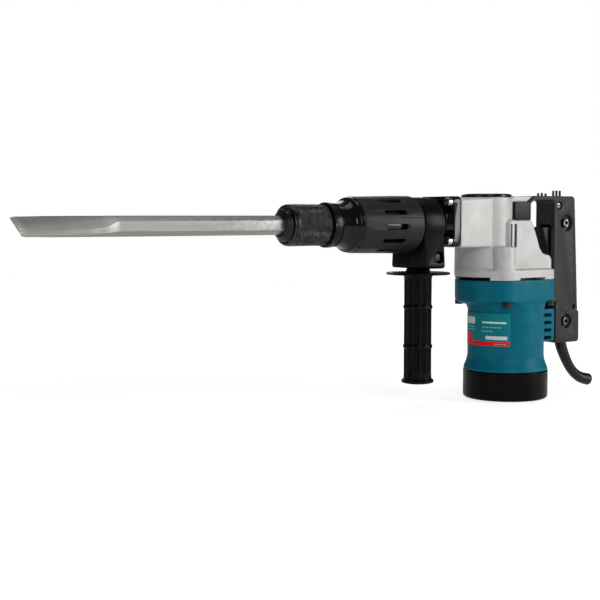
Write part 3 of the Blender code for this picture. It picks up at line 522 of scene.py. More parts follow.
def build_chisel():
    """Hex bar with a forged blade: the flats swell, thin out and end in a ground edge."""
    tip, rear = CHISEL_LOW.x, CHISEL_HIGH.x
    forge = tip + BLADE
    stations = [  # place along the bar, half width, half thickness, half the flat, corner radius
        (rear, HEX_CORNER - 2, HEX_FLAT - 1.8, HEX_CORNER / 2 - 0.9, 0.8),
        (rear - 2.5, HEX_CORNER, HEX_FLAT, HEX_CORNER / 2, 0.7),
        (forge, HEX_CORNER, HEX_FLAT, HEX_CORNER / 2, 0.7),
        (forge - 17, 12.8, 5.2, 10.2, 0.55),
        (forge - 33, 14.2, 4.1, 12, 0.5),
        (forge - 62, 15.1, 2.9, 13.9, 0.7),
        (tip + 7.5, 15.8, 1.7, 15, 0.5),
        (tip + 4.5, 16, 1.5, 15.4, 0.4),
        (tip, 16, 0.4, 15.8, 0.12)]
    bm = bmesh.new()
    rings = []
    for one, other in zip(stations, stations[1:]):
        forged = one[0] <= forge and other[0] > tip + 6
        steps = max(1, round((one[0] - other[0]) / RING_GAP)) if forged else 1
        for k in range(steps):
            section = [eased(a, b, k / steps) for a, b in zip(one[1:], other[1:])]
            x = one[0] + (other[0] - one[0]) * k / steps
            rings.append([bm.verts.new((x, p.x, AXIS + p.y)) for p in chisel_section(*section)])
    rings.append([bm.verts.new((tip, p.x, AXIS + p.y)) for p in chisel_section(*stations[-1][1:])])
    bridge(bm, rings)
    bar = finish_mesh("flat_chisel_forged", bm, 28)
    roller = middle("lock_roller").x
    cut(bar, block("notch", [roller + end for end in ROLLER_NOTCH], (-12, 12), (AXIS + 6.2, AXIS + 12)))
    place(smooth(bar, 28), "chisel", "chisel_steel", CHISEL, "flat_chisel")


# ---- lock sleeve and tool holder
KNURLS = 44
KNURL_PITCH = 2 * pi * SLEEVE_R / KNURLS
KNURL_DEPTH = 1
KNURL_STEPS = 6  # mesh steps in one pitch, both ways
KNURL_ROW = KNURL_PITCH / KNURL_STEPS
HOLDER_BORE = 13.4
ROLLER_ROOM = (5.5, 17.8)  # half length and radius of the groove for the roller


def wave(value):
    """Triangle wave: 0 at whole numbers, 1 half way between."""
    return 1 - abs(2 * (value % 1) - 1)


def build_lock_sleeve():
    """Sleeve with a smooth front collar, a diamond knurl and the roller's groove inside."""
    front, rear, radius = SLEEVE_LOW.x - 2.9, SLEEVE_HIGH.x, SLEEVE_R
    knurl_start = front + 6.2
    rows = int((rear - 1.4 - knurl_start) / KNURL_ROW)
    knurl_end = knurl_start + rows * KNURL_ROW

    def knurl(angle, along, size):
        if not knurl_start - WELD <= along <= knurl_end + WELD or size < radius - WELD:
            return size
        turn = KNURLS * angle / (2 * pi)
        shift = (along - knurl_start) / KNURL_PITCH
        return size - KNURL_DEPTH * (1 - min(wave(turn + shift), wave(turn - shift)))

    roller = middle("lock_roller").x
    outside = [(rear, 14.2), (rear, radius - 1.9), (rear - 0.5, radius - 1.3), (rear - 1, radius - 0.5)]
    outside += [(knurl_end - k * KNURL_ROW, radius) for k in range(rows + 1)]
    outside += [(front + 5.6, radius - 0.8), (front + 5.2, radius - 0.8), (front + 4.8, radius - 0.1),
                (front + 4.4, radius), (front + 2, radius - 0.5), (front + 1.4, radius - 0.7),
                (front + 0.6, radius - 1.1), (front + 0.1, radius - 1.9), (front, radius - 2.3)]
    half, room = ROLLER_ROOM
    inside = [(front + 0.2, radius - 2.8), (front + 1.4, radius - 3.4), (front + 2.4, radius - 4),
              (front + 5.6, 17.6), (front + 5.9, HOLDER_BORE), (roller - half, HOLDER_BORE),
              (roller - half, room), (roller + half, room), (roller + half, HOLDER_BORE),
              (rear - 0.6, HOLDER_BORE)]
    sides = KNURL_STEPS * KNURLS
    sleeve = lathe("knurled_lock_sleeve", outside + inside, sides=sides, ripple=knurl, closed=True, sharp=50)
    place(sleeve, "lock_sleeve", "black_oxide", OXIDE, "lock_sleeve")


def build_tool_holder():
    """Stepped holder with the roller's slot and a smooth collar, its stop ring and the nose boot."""
    nose, collar = HOLDER_FRONT, COLLAR_FRONT
    rear = limits("tool_holder")[1].x
    profile = fillet([(rear, 10.7), (rear, 15.8, 0.6), (collar + 9.7, 15.8), (collar + 9.7, 21.4, 0.4),
                      (collar + 7.6, 21.4, 0.5), (collar + 7.2, 22.6, 0.3), (collar + 6.4, 23.2, 0.4),
                      (collar + 1, 23.2, 0.5), (collar, 22, 0.4), (collar, 14.6), (collar - 1.6, 13),
                      (nose + 6.2, 13), (nose + 6.2, 12.3), (nose + 3.4, 12.3), (nose + 3.4, 13.1, 0.3),
                      (nose + 0.9, 13.1, 0.8), (nose, 12, 0.5), (nose, 11.4, 0.2), (nose + 7.2, 11.4),
                      (nose + 7.2, 10.3), (rear - 16, 10.3), (rear - 15, 10.7)])
    holder = lathe("tool_holder_turned", profile, closed=True)
    roller = middle("lock_roller").x
    cut(holder, block("slot", (roller - 3.9, roller + 3.9), (-5.4, 5.4), (AXIS + 7, AXIS + 16)))
    place(smooth(holder), "tool", "black_oxide", OXIDE, "tool_holder")

    high = limits("nose_seal")[1]
    boot = fillet([(high.x, 10), (high.x, 11.2), (nose - 0.2, 11.2), (nose - 0.2, 17.4, 0.4),
                   (nose - 1.6, 17.2, 0.5), (nose - 2.3, 15.9, 0.3), (nose - 3.9, 15.5, 0.5),
                   (nose - 4.6, 14.3, 0.3), (nose - 6, 12.9, 0.7), (nose - 6.6, 11.2, 0.5),
                   (nose - 5.6, 10.2, 0.4), (nose - 3, 9.95)])
    seal = lathe("nose_boot", boot, sides=96, closed=True)
    place(seal, "tool", "rubber", RUBBER, "nose_seal")

    low, high = limits("stop_ring")
    outline = fillet([(high.x, 12.5), (high.x, 16.6), (low.x, 16.6), (low.x, 12.5)], 0.3)
    ring = lathe("stop_ring_turned", outline, sides=64, closed=True)
    place(ring, "tool", "steel", ZINC, "stop_ring")


# ---- barrel and cover
SCREWS_Y = abs(middle("barrel_screw_1").y)
SCREWS_Z = (middle("barrel_screw_1").z, middle("barrel_screw_2").z)
SCREW_PLACES = [(y, z) for y in (-SCREWS_Y, SCREWS_Y) for z in SCREWS_Z]
FLANGE_HALF_Y = 28
FLANGE_Z = (AXIS - 24, AXIS + 30.4)
FLANGE_CORNER = 5
PAD_SHARE = 0.985  # a pad sits this share of its screw's way out
BARREL_HEAD = (4.7, 6.6, 2.5)
SOCKET_DEPTH = 0.6  # share of the head's height
SUNK = 0.3  # how far a screw's head goes under its seat
COVER_ROWS = 6  # each row of slots cuts the cover on both sides
SLOT_HALF = 3.1
SLOT_ENDS = (26, 55)  # from the cover's front
FIRST_SLOT = 4  # degrees
PARTING_LINE = 76  # degrees from the top, on both sides


def build_barrel():
    """Enamelled barrel: polished bell ahead, hub and ribbed flange behind."""
    flange, rim = FLANGE_FRONT, COVER_LOW.x - 0.3
    profile = fillet([
        (-84, 20.1), (-84, 22), (-96, 22), (-96, 22.8), (flange - 5.5, 22.8, 2), (flange - 11, 24.6, 2),
        (CLAMP_HIGH.x + 0.5, 25.4), (CLAMP_HIGH.x + 0.5, 26.5, 0.5), (CLAMP_LOW.x - 2.6, 26.5, 0.4),
        (CLAMP_LOW.x - 3.6, 25.6), (-208, 25.6), (-211, 26.9, 0.8),
        (rim + 0.3, 26.9), (rim, 27.4, 0.1), (rim, COVER_R - 1.7, 0.4), (rim - 3.9, COVER_R - 2.1, 0.9),
        (rim - 4.6, 27.4, 2), (rim - 7.4, 24.6, 5), (rim - 13.5, 22.8, 8), (-245.8, 22.4, 0.5),
        (-246.4, 21.6, 0.5), (-246.4, 16.2), (-204, 16.2), (-204, 20.1)])
    barrel = lathe("barrel_enamelled", profile, sides=128, closed=True)
    plate = slab("plate", rectangle((-FLANGE_HALF_Y, FLANGE_HALF_Y), FLANGE_Z, FLANGE_CORNER), "YZ",
                 FLANGE_REAR, flange, 1)
    cut(plate, rod("bore", "X", (0, AXIS), 21.4, flange - 2, FLANGE_REAR + 2, 96))
    pads = [rod("pad", "X", (y * PAD_SHARE, z), 6.1, flange - 1.2, flange + 2, 40, 0.5) for y,
            z in SCREW_PLACES]
    join(barrel, plate, *pads)
    for side in (-1, 1):
        web = slab("web", fillet([(flange - 9.5, 20), (flange - 8.4, 24.3, 2), (flange + 2, 27.4),
                                  (flange + 2, 18)]), "XY", AXIS - 6, AXIS + 12, 0.6)
        if side < 0:
            web.scale.y = -1
            web.data.flip_normals()
        join(barrel, web)
    cut(barrel, *[rod("hole", "X", at, 2.9, flange - 4, FLANGE_REAR + 2, 24) for at in SCREW_PLACES])
    place(smooth(barrel, 32), "tool", "gloss_black", GLOSS, "barrel")


def socket_screw(name, axis, centre, seat, head, shank, material, *nodes, sides=36):
    """Cap screw with a rounded head, a hexagon socket and its head towards the axis's low end.

    head is its radius, height and hexagon's radius; shank is its radius and length.
    """
    head_r, head_h, hex_r = head
    shank_r, length = shank
    top = seat - head_h
    floor = top + SOCKET_DEPTH * head_h
    profile = fillet([(seat + length, 0), (seat + length, shank_r), (seat, shank_r), (seat, head_r, 0.3),
                      (top, head_r, 0.7), (top, 0)], closed=False)
    screw = lathe(name, profile, axis, centre, sides)
    hexagon = lathe("hexagon", [(floor, 0), (floor, hex_r), (top - 1, hex_r), (top - 1, 0)], axis, centre, 6,
                    sharp=20)
    place(smooth(cut(screw, hexagon)), "tool", "steel", material, *nodes)


def build_barrel_screws():
    """Four bright cap screws through the flange."""
    for name in ("barrel_screw_1", "barrel_screw_2", "barrel_screw_3", "barrel_screw_4"):
        at, rear = middle(name), limits(name)[1].x
        socket_screw(name + "_cap", "X", (at.y, at.z), FLANGE_FRONT - SUNK, BARREL_HEAD,
                     (2.6, rear - FLANGE_FRONT), ZINC, name)


def about_axis(cutter, angle):
    """Turns a cutter that was made round the row's X axis and lifts it to the tool's axis."""
    turn = Matrix.Rotation(radians(angle), 4, "X")
    cutter.matrix_world = Matrix.Translation((0, 0, AXIS * MM)) @ turn
    return cutter


def build_cover():
    """Moulded cover with twelve round-ended slots and a fine parting line."""
    front, rear = COVER_LOW.x, COVER_HIGH.x
    profile = fillet([(rear, 27.4), (rear, COVER_R - 2.6, 1.2), (rear - 2.6, COVER_R, 4),
                      (rear - 20, COVER_R, 30), (front + 0.7, COVER_R - 1.2, 0.5),
                      (front, COVER_R - 1.8, 0.5), (front, 27.6, 0.3), (rear - 6, 27.6)])
    cover = lathe("barrel_cover_moulded", profile, sides=144, closed=True)
    cutters = []
    for k in range(COVER_ROWS):
        outline = rectangle([front + end for end in SLOT_ENDS], (-SLOT_HALF, SLOT_HALF), SLOT_HALF - 0.05)
        slot = slab("slot", outline, "XY", -40, 40, 0)
        cutters.append(about_axis(slot, 180 / COVER_ROWS * k + FIRST_SLOT))
    for angle in (PARTING_LINE, -PARTING_LINE):
        line = block("line", (front + 13, rear - 5.5), (-0.35, 0.35), (COVER_R - 0.8, COVER_R + 1))
        cutters.append(about_axis(line, angle))
    cut(cover, *cutters)
    place(ease_edges(cover, 0.2), "tool", "cover_plastic", COVER, "barrel_cover")


# ---- side handle
def build_clamp():
    """Clamp band and block in one moulding, slit below, with the bolt's oblong recess."""
    bottom = CLAMP_LOW.z
    band_r = CLAMP_HIGH.z - AXIS
    half = CLAMP_HIGH.y
    band = [(p.x, p.y, 0) for p in arc(0, AXIS, band_r, -24, 204, 4)]
    outline = fillet(band + [(-half, bottom, 3.2), (half, bottom, 3.2)])
    clamp = slab("clamp_moulded", outline, "YZ", CLAMP_LOW.x, CLAMP_HIGH.x, 1.3)
    bolt = middle("clamp_bolt")
    recess = rectangle((bolt.x - 6.8, bolt.x + 5.9), (bolt.z - 6.3, bolt.z + 6.3), 5.6)
    cut(clamp,
        rod("seat", "X", (0, AXIS), 26.8, CLAMP_LOW.x - 2, CLAMP_HIGH.x + 2, 128),
        block("slit", (CLAMP_LOW.x - 2, CLAMP_HIGH.x + 2), (-0.8, 0.8), (AXIS - 37.5, AXIS - 20)),
        rod("bolt_hole", "Y", (bolt.x, bolt.z), 3.3, -40, 40),
        slab("recess", recess, "XZ", -40, -21.6, 0),
        rod("stud_hole", "Z", (GRIP_X, 0), 4.3, bottom - 3, bottom + 7.5))
    place(ease_edges(clamp, 0.5), "side_handle", "grip_rubber", GRIP, "clamp")

    low, high = limits("clamp_bolt")
    seat = low.y + 4.4
    shank = rod("clamp_bolt_plated", "Y", (bolt.x, bolt.z), 2.9, seat - 1, high.y, 32, 0.4)
    profile = fillet([(seat, 0), (seat, 4.3, 0.2), (low.y + 1.2, 4.3, 0.5), (low.y + 1.2, 0)], closed=False)
    head = lathe("head", profile, "Y", (bolt.x, bolt.z), 6, sharp=20)
    join(shank, head)
    place(smooth(shank, 25), "side_handle", "steel", OXIDE, "clamp_bolt")


GRIP_R = 15.1
GRIP_RIBS = 12
FLUTE_DEPTH = 2
FLUTE_RUN_OUT = 1.5  # length over which a flute ends
GRIP_RINGS = (AXIS - 89, AXIS - 131.6)
RING_HALF = 1.8
RING_HEIGHT = 0.9


def build_grip():
    """Ribbed grip with a thin guard disc, two rings and a rolled end."""
    top, bottom = GRIP_HIGH.z, GRIP_LOW.z
    disc = top - 3.8
    first, second = GRIP_RINGS
    zones = ((disc - 7, first + 2.4), (first - 2.4, second + 2.4), (second - 2.4, bottom + 8))

    def ribs(angle, along, radius):
        if radius < GRIP_R - 0.5:
            return radius
        inside = max(min(upper - along, along - lower) for upper, lower in zones)
        share = min(1, inside / FLUTE_RUN_OUT)
        if share <= 0:
            return radius
        return radius - FLUTE_DEPTH * share * min(1, 2.2 * (0.5 - 0.5 * cos(GRIP_RIBS * angle)))

    profile = fillet([(top, 12), (top - 1, 12.6, 1), (disc, 13.6, 1.5)], closed=False)
    profile += fillet([(disc, 13.7), (disc - 0.5, 33.6), (disc - 1.6, 34.8), (disc - 2.9, 33.8),
                       (disc - 3.4, GRIP_R + 1.6), (disc - 5.2, GRIP_R), (disc - 6, GRIP_R)], 0.9, False)
    height = disc - 8
    while height > bottom + 10:
        offset = min(abs(height - ring) for ring in GRIP_RINGS)
        swell = RING_HEIGHT * cos(radians(90 * offset / RING_HALF)) ** 0.7 if offset < RING_HALF else 0
        profile.append((height, GRIP_R + swell))
        height -= 0.6 if offset < 5 else 1
    profile += fillet([(bottom + 8, GRIP_R), (bottom + 4.6, GRIP_R, 1.6), (bottom + 2.8, GRIP_R + 2.3, 1),
                       (bottom + 0.2, GRIP_R + 2.3, 1), (bottom - 0.8, GRIP_R - 1, 1.2),
                       (bottom - 0.8, 4, 0.5), (bottom + 1.5, 3, 0.4), (bottom + 1.5, 0)], closed=False)
    stud_end = limits("grip_stud")[0].z
    profile += [(stud_end - 1, 0), (stud_end - 1, 4.4), (top, 4.4)]
    grip = lathe("side_grip_moulded", profile, "Z", (GRIP_X, 0), GRIP_RIBS * 16, ribs, True)
    place(grip, "side_handle", "grip_rubber", GRIP, "side_grip")


# ---- casting and its cap
MOTOR_SCREWS = [middle(f"motor_screw_{i + 1}") for i in range(4)]
BODY_X = (-46.6, 40)
BODY_Y = 45
BODY_CORNER = 16
BULGE_R = 33
TOWER_Y = 33
BOSS_PLACE = (-33.5, 31.2)  # x, and y on either side
SLITS = ((-25.6, -22.9), (-20.1, -15.8))  # x ranges of the two slits beside the tower
SLIT_Z = (AXIS - 25.5, AXIS + 0.4)
LINER_END = -86
GAP = 0.1  # small clearance


def body_plan():
    """Plan that the casting and the motor's top share: square behind, drawn to a round front."""
    square = rectangle(BODY_X, (-BODY_Y, BODY_Y), BODY_CORNER)
    points = square + arc(CRANK_X, 0, BULGE_R, 90, 270)
    return [points[i] for i in convex_hull_2d(points)]


def ring_sector(name, inner, outer, start, end, low, high):
    """Part of a ring round the crank's axis between two angles in degrees."""
    outline = arc(CRANK_X, 0, outer, start, end, 4) + arc(CRANK_X, 0, inner, end, start, 4)
    return slab(name, outline, "XY", low, high, 0)


def build_socket():
    """Barrel socket, square ahead and drawn in towards the crank chamber."""
    front, half = CASTING_FRONT, 27.2
    socket = slab("socket", fillet([(-half, AXIS - 25, 3), (half, AXIS - 25, 3), (half, AXIS + 29.5, 6),
                                    (-half, AXIS + 29.5, 6)]), "YZ", front, CRANK_X, 1)
    side = [(front - 2, -half - GAP), (CRANK_X + 2, -24.8)]
    plan = side + [(x, -y) for x, y in reversed(side)]
    keep = slab("plan", plan, "XY", AXIS - 30, AXIS + 35, 0)
    return boolean(socket, "INTERSECT", (keep,))


def both_sides(first, last):
    """The same range of y on either side, each in rising order."""
    return (-last, -first), (first, last)


def casting_hollows():
    """Rooms and bores inside, the vents over the motor and the four slits."""
    hollows = [
        rod("gear_room", "Z", (CRANK_X, 0), 29.4, SEAT - 2, 150.2, 96),
        rod("pinion_room", "Z", (0, 0), 14, SEAT - 2, 154, 48),
        rod("bearing_bore", "Z", (CRANK_X, 0), 14.2, 149, 178, 48),
        rod("chamber_bore", "Z", (CRANK_X, 0), 24.9, 177, AXIS + 34, 96),
        rod("barrel_bore", "X", (0, AXIS), 22.3, FLANGE_REAR - 4, LINER_END + 2.4, 96),
        rod("liner_bore", "X", (0, AXIS), 20.3, LINER_END, CRANK_X, 96),
        ring_sector("front_vent", 26, 44, 124, 236, SEAT - 2, SEAT + 3.6)]
    hollows += [block("side_vent", (-22, 17), reach, (SEAT - 2, SEAT + 3)) for reach in both_sides(27, 60)]
    hollows += [block("slit", place, reach, SLIT_Z, 0.4) for reach in both_sides(18, 40) for place in SLITS]
    return hollows


def build_slit_shade_blocks():
    """Dark blocks a little below the surface in the slits, a painted shade that makes them look deep."""
    height = (SLIT_Z[0] + GAP, SLIT_Z[1] - GAP)
    for reach in both_sides(18.2, 31.3):
        for low, high in SLITS:
            # Painted shade: a black block stands for the dark depth of the slit.
            shade_block = block("slit_shade_block", (low + GAP, high - GAP), reach, height, 0.3)
            place(shade_block, "tool", "black_plastic", BLACK)


def build_casting():
    """One casting: gear room, crank chamber, side bosses, barrel socket, tower and handle arm."""
    body = slab("crank_housing_cast", body_plan(), "XY", SEAT, 147, 0.6)
    bulge = lathe("bulge", fillet([(180, 0), (180, 29), (168, 29.2, 20), (151, 31, 12), (146, 32.6),
                                   (SEAT, 32.6), (SEAT, 0)], closed=False), "Z", (CRANK_X, 0), 96)
    chamber = rod("chamber", "Z", (CRANK_X, 0), 29, AXIS - 38, AXIS + 30, 96, 0.8)
    tower = slab("tower", fillet([(-27, 146), (-27, AXIS + 4.2, 2.5), (7.5, AXIS + 4.2, 3),
                                  (15.5, AXIS - 14, 8), (20, AXIS - 26, 8), (25.5, AXIS - 33.3, 5),
                                  (36, AXIS - 35.2, 3.5), (39.2, AXIS - 39.5, 3.5), (39.2, 146)]), "XZ",
                 -TOWER_Y, TOWER_Y, 1.6)
    side_view = [(-24, AXIS + 24.8), (-24, AXIS + 29.5), (-3.4, AXIS + 29.5), (-2.4, AXIS + 31.5),
                 (28.6, AXIS + 31.5), (19.2, AXIS + 24.8)]
    arm = slab("arm", side_view, "XZ", -12.5, 12.5, 1.2)
    joined = [bulge, chamber, build_socket(), tower, arm]
    boss = fillet([(173, 0), (173, 12.8, 3), (SEAT + 4, 13.2), (SEAT + 4, 0)], closed=False)
    x, y = BOSS_PLACE
    joined += [lathe("boss", boss, "Z", (x, side * y), 48) for side in (-1, 1)]
    join(body, *joined)
    soften(body, 0.75, 7)
    cut(body, *casting_hollows())
    place(smooth(body, 50), "tool", "cast_aluminium", CASTING, "crank_housing")


def build_crank_cap():
    """Flat black cap that steps down into the crank chamber."""
    low, high = AXIS + 30.3, CAP_TOP
    profile = fillet([(high, 0), (high, 24, 1), (high - 0.5, 26.8, 0.8), (high - 1.4, 28, 0.6),
                      (low, 28, 0.3), (low, 24.5), (low - 5, 24.5), (low - 5, 0)], closed=False)
    place(lathe("crank_cap_pressed", profile, "Z", (CRANK_X, 0), 96), "tool", "gloss_black", GLOSS,
          "crank_cap")


# ---- motor
WAIST_R = 43.2
TOP_X = -3.3
TOP_HALF_X = 43.3
POD_X = MOTOR_HIGH.x
POD_Y = 17
SCREW_SEAT = 111.5
MOTOR_HEAD = (4.8, 5.8, 2.4)
SWELL_START = 97.5  # height where the waist starts to swell
SWELL_HEIGHT = 14.8
SWELL_STEPS = 10
LOUVRES = 4
LOUVRE_START = 64.2
LOUVRE_PITCH = 8.7


def rounded_ring(half_x, half_y, corner, middle_x):
    """Rounded rectangle with the same count of points whatever its size."""
    ring = []
    for k, (sx, sy) in enumerate(((1, 1), (-1, 1), (-1, -1), (1, -1))):
        place = (middle_x + sx * (half_x - corner), sy * (half_y - corner))
        ring += arc(*place, corner, 90 * k, 90 * k + 90, 6.5)
    return ring


def build_motor_housing():
    """Round waist that swells into a square top, air pod behind, scoops for the screws."""
    low, top = MOTOR_LOW.z, MOTOR_HIGH.z
    # height, radius of the round waist, share of the square top
    heights = [(low, 47.6, 0), (low + 1.6, 47.6, 0), (low + 4.2, 46.9, 0), (low + 8, 45.2, 0),
               (low + 12.5, 43.8, 0), (low + 17, WAIST_R, 0), (SWELL_START, WAIST_R, 0)]
    for k in range(1, SWELL_STEPS + 1):
        t = k / SWELL_STEPS
        heights.append((SWELL_START + SWELL_HEIGHT * t, WAIST_R, 1 - sqrt(max(0, 1 - t ** 2.3))))
    heights += [(114, WAIST_R, 1), (top, WAIST_R, 1)]
    bm = bmesh.new()
    rings = []
    for z, radius, blend in heights:
        size = [radius + (end - radius) * blend for end in (TOP_HALF_X, BODY_Y, BODY_CORNER)]
        rings.append([bm.verts.new((p.x, p.y, z)) for p in rounded_ring(*size, TOP_X * blend)])
    bridge(bm, rings)
    body = finish_mesh("motor_housing_moulded", bm, 60)
    pod = slab("pod", fillet([(20, -POD_Y), (POD_X, -POD_Y, 3), (POD_X, POD_Y, 3), (20, POD_Y)]), "XY", 62,
               99.5, 1.2)
    front = lathe("round_front", fillet([(top, 0), (top, BULGE_R), (111.8, BULGE_R, 2.5), (108.5, 26),
                                         (108.5, 0)], closed=False), "Z", (CRANK_X, 0), 96)
    shoulder = slab("shoulder", body_plan(), "XY", 112, top, 0.8)
    join(body, pod, front, shoulder)
    scoops = []
    for at in MOTOR_SCREWS:
        scoop = fillet([(SCREW_SEAT + 0.3, 0), (SCREW_SEAT + 0.3, 7.4), (105, 7.8, 6), (95, 11), (95, 0)],
                       closed=False)
        scoops.append(lathe("scoop", scoop, "Z", (at.x * 1.04, at.y * 1.05), 48))
    cut(body, *scoops)
    soften(body, 0.8, 5)
    cutters = []
    for side in (-1, 1):
        for k in range(LOUVRES):
            z = LOUVRE_START + LOUVRE_PITCH * k
            outline = rectangle((44.5, 56.7), (z, z + 4.1), 1.6)
            cutters.append(slab("louvre", outline, "XZ", side * (POD_Y - 12), side * (POD_Y + 3), 0))
    cutters.append(rod("bore", "Z", (0, 0), 39.5, low - 2, top + 2, 128))
    cutters += [rod("screw_hole", "Z", (at.x, at.y), 2.9, 108, top + 2, 24) for at in MOTOR_SCREWS]
    cut(body, *cutters)
    place(smooth(body, 50), "tool", "teal", TEAL, "motor_housing")


def build_motor_screws():
    """Four dark cap screws in the scoops of the motor housing."""
    for i, at in enumerate(MOTOR_SCREWS):
        name = f"motor_screw_{i + 1}"
        length = limits(name)[1].z - SCREW_SEAT
        socket_screw(name + "_cap", "Z", (at.x, at.y), SCREW_SEAT, MOTOR_HEAD, (2.5, length), OXIDE, name)


def build_base_cap():
    """Cup under the motor; its rim has a fine lip and the corner below is well rounded."""
    top = BASE_HIGH.z
    profile = fillet([(top, 45.2), (top, BASE_R - 0.9, 0.5), (top - 0.9, BASE_R, 0.6), (top - 3, BASE_R),
                      (top - 3.3, BASE_R - 0.25, 0.2), (top - 3.9, BASE_R - 0.25, 0.2), (top - 4.2, BASE_R),
                      (8, BASE_R), (0, BASE_R, 6.5), (0, 34, 0.5), (0.8, 33, 0.5), (0.8, 0)], closed=False,
                     step=7)
    profile += [(3.5, 0), (3.5, 11.8), (13, 11.8), (13, 15), (3.5, 16.5), (3.5, 41), (7.5, 45.2)]
    cap = lathe("base_cap_moulded", profile, "Z", (0, 0), 144, closed=True)
    place(cap, "tool", "base_plastic", BASE, "base_cap")


def curved_patch(bm, radius, start, end, low, high, corner=0):
    """Patch of a cylinder round the motor axis between two angles (degrees) and two heights."""
    width = radians(end - start) * radius
    outline = fillet([(0, low), (width, low), (width, high), (0, high)], corner, step=15)
    columns = max(2, ceil((end - start) / 2))
    flat = bmesh.new()
    flat.faces.new([flat.verts.new((p.x, p.y, 0)) for p in outline])
    for k in range(1, columns):
        everything = flat.verts[:] + flat.edges[:] + flat.faces[:]
        bmesh.ops.bisect_plane(flat, geom=everything, plane_co=(width * k / columns, 0, 0),
                               plane_no=(1, 0, 0))
    made = {}
    for vert in flat.verts:
        angle = radians(start) + vert.co.x / radius
        made[vert] = bm.verts.new((radius * cos(angle), radius * sin(angle), vert.co.y))
    for face in flat.faces:
        bm.faces.new([made[v] for v in face.verts])
    flat.free()


def build_nameplate():
    """Curved plate with plain printed fields: a red foot, a white strip and rows of dashes."""
    low, high = limits("nameplate")
    outer = WAIST_R + 1
    start, end = 148, 233
    inner = arc(0, 0, WAIST_R + 0.25, end, start, 2)
    plate = slab("nameplate_curved", arc(0, 0, outer, start, end, 2) + inner, "XY", low.z, high.z, 0)
    place(plate, "tool", "label", LABEL, "nameplate")
    foot_z, face = low.z, outer + 0.03
    foot = [(start + 0.5, end - 0.6, foot_z + 0.5, foot_z + 5.3, 0.8),
            (start + 0.5, start + 21, foot_z + 0.7, foot_z + 13.5, 2.6)]
    strips = [(196, 228.5, foot_z + 7.6, foot_z + 11.6, 0.2), (190, 227, foot_z + 25.6, foot_z + 27.6, 0.6),
              (152, 176, foot_z + 24, foot_z + 32, 2.5)]
    dashes = [(190 + 6.2 * k, 194.8 + 6.2 * k, foot_z + z, foot_z + z + 1.2, 0.3)
              for z, count in ((20.6, 5), (16.2, 3)) for k in range(count)]
    dashes += [(152, 176, foot_z + 20.4, foot_z + 21.6, 0.3), (154, 176, foot_z + 17, foot_z + 18.2, 0.3)]
    dashes += [(210 + 3.6 * k, 212.6 + 3.6 * k, foot_z + 2.3, foot_z + 3.2, 0.2) for k in range(5)]
    for name, material, patches in (("label_foot", LABEL_RED, foot), ("label_strips", LABEL_WHITE, strips),
                                    ("label_dashes", LABEL_INK, dashes)):
        bm = bmesh.new()
        for k, (first, last, bottom, upper, corner) in enumerate(patches):
            curved_patch(bm, face + 0.02 * (k + 1), first, last, bottom, upper, corner)
        place(finish_mesh(name, bm, 60), "tool", "label", material)


# ---- rear handle
GRIP_FACE = 15
BLOCK_FACE = 17
BLOCK_FRONT = 63
BOLT_RECESS = 4
HANDLE_HEAD = (5.2, 3.5, 2.6)
SMALL_HEAD = (3.4, 1.8, 1.4)
SMALL_SCREW = (69, AXIS + 21.3)  # x and z
SMALL_HOLE = (95.1, 100.5)
ARM_X = (-2.3, 22.3)
ARM_Z = (AXIS + 4.2, AXIS + 24.7)
FINS = ((44.5, 3.4), (50.4, 3.8), (56.5, 3.2), (69, 6.4), (74.3, 6.8), (79.8, 6.6))  # x and height
POCKET_FACE = 9.5
CORD_X = 88
UPPER_BOLT = middle("handle_bolt_upper")
LOWER_BOLT = middle("handle_bolt_lower")
TRIGGER_PIVOT = middle("trigger_pin")


def handle_outline():
    """Side view of the handle: front arm, grip with its trigger notch, foot and rear."""
    rear, top, bottom = HANDLE_HIGH.x, HANDLE_HIGH.z, HANDLE_LOW.z
    return fillet([
        (-2, AXIS + 4.5, 1.3), (22, AXIS + 4.5, 1.6), (22, AXIS + 26.3, 9), (61, AXIS + 27.5, 5),
        (61, AXIS - 2, 0), (61, 113, 3), (54, 112, 1.6), (54, 103.4, 1.6), (BLOCK_FRONT, 102, 1.6),
        (BLOCK_FRONT, bottom, 3), (rear, bottom, 5), (rear - 0.5, 92, 30), (rear - 8, top, 4.5),
        (30, top, 2.5), (19.5, AXIS + 24.5, 3), (-2, AXIS + 24.5, 1.3)], step=9)


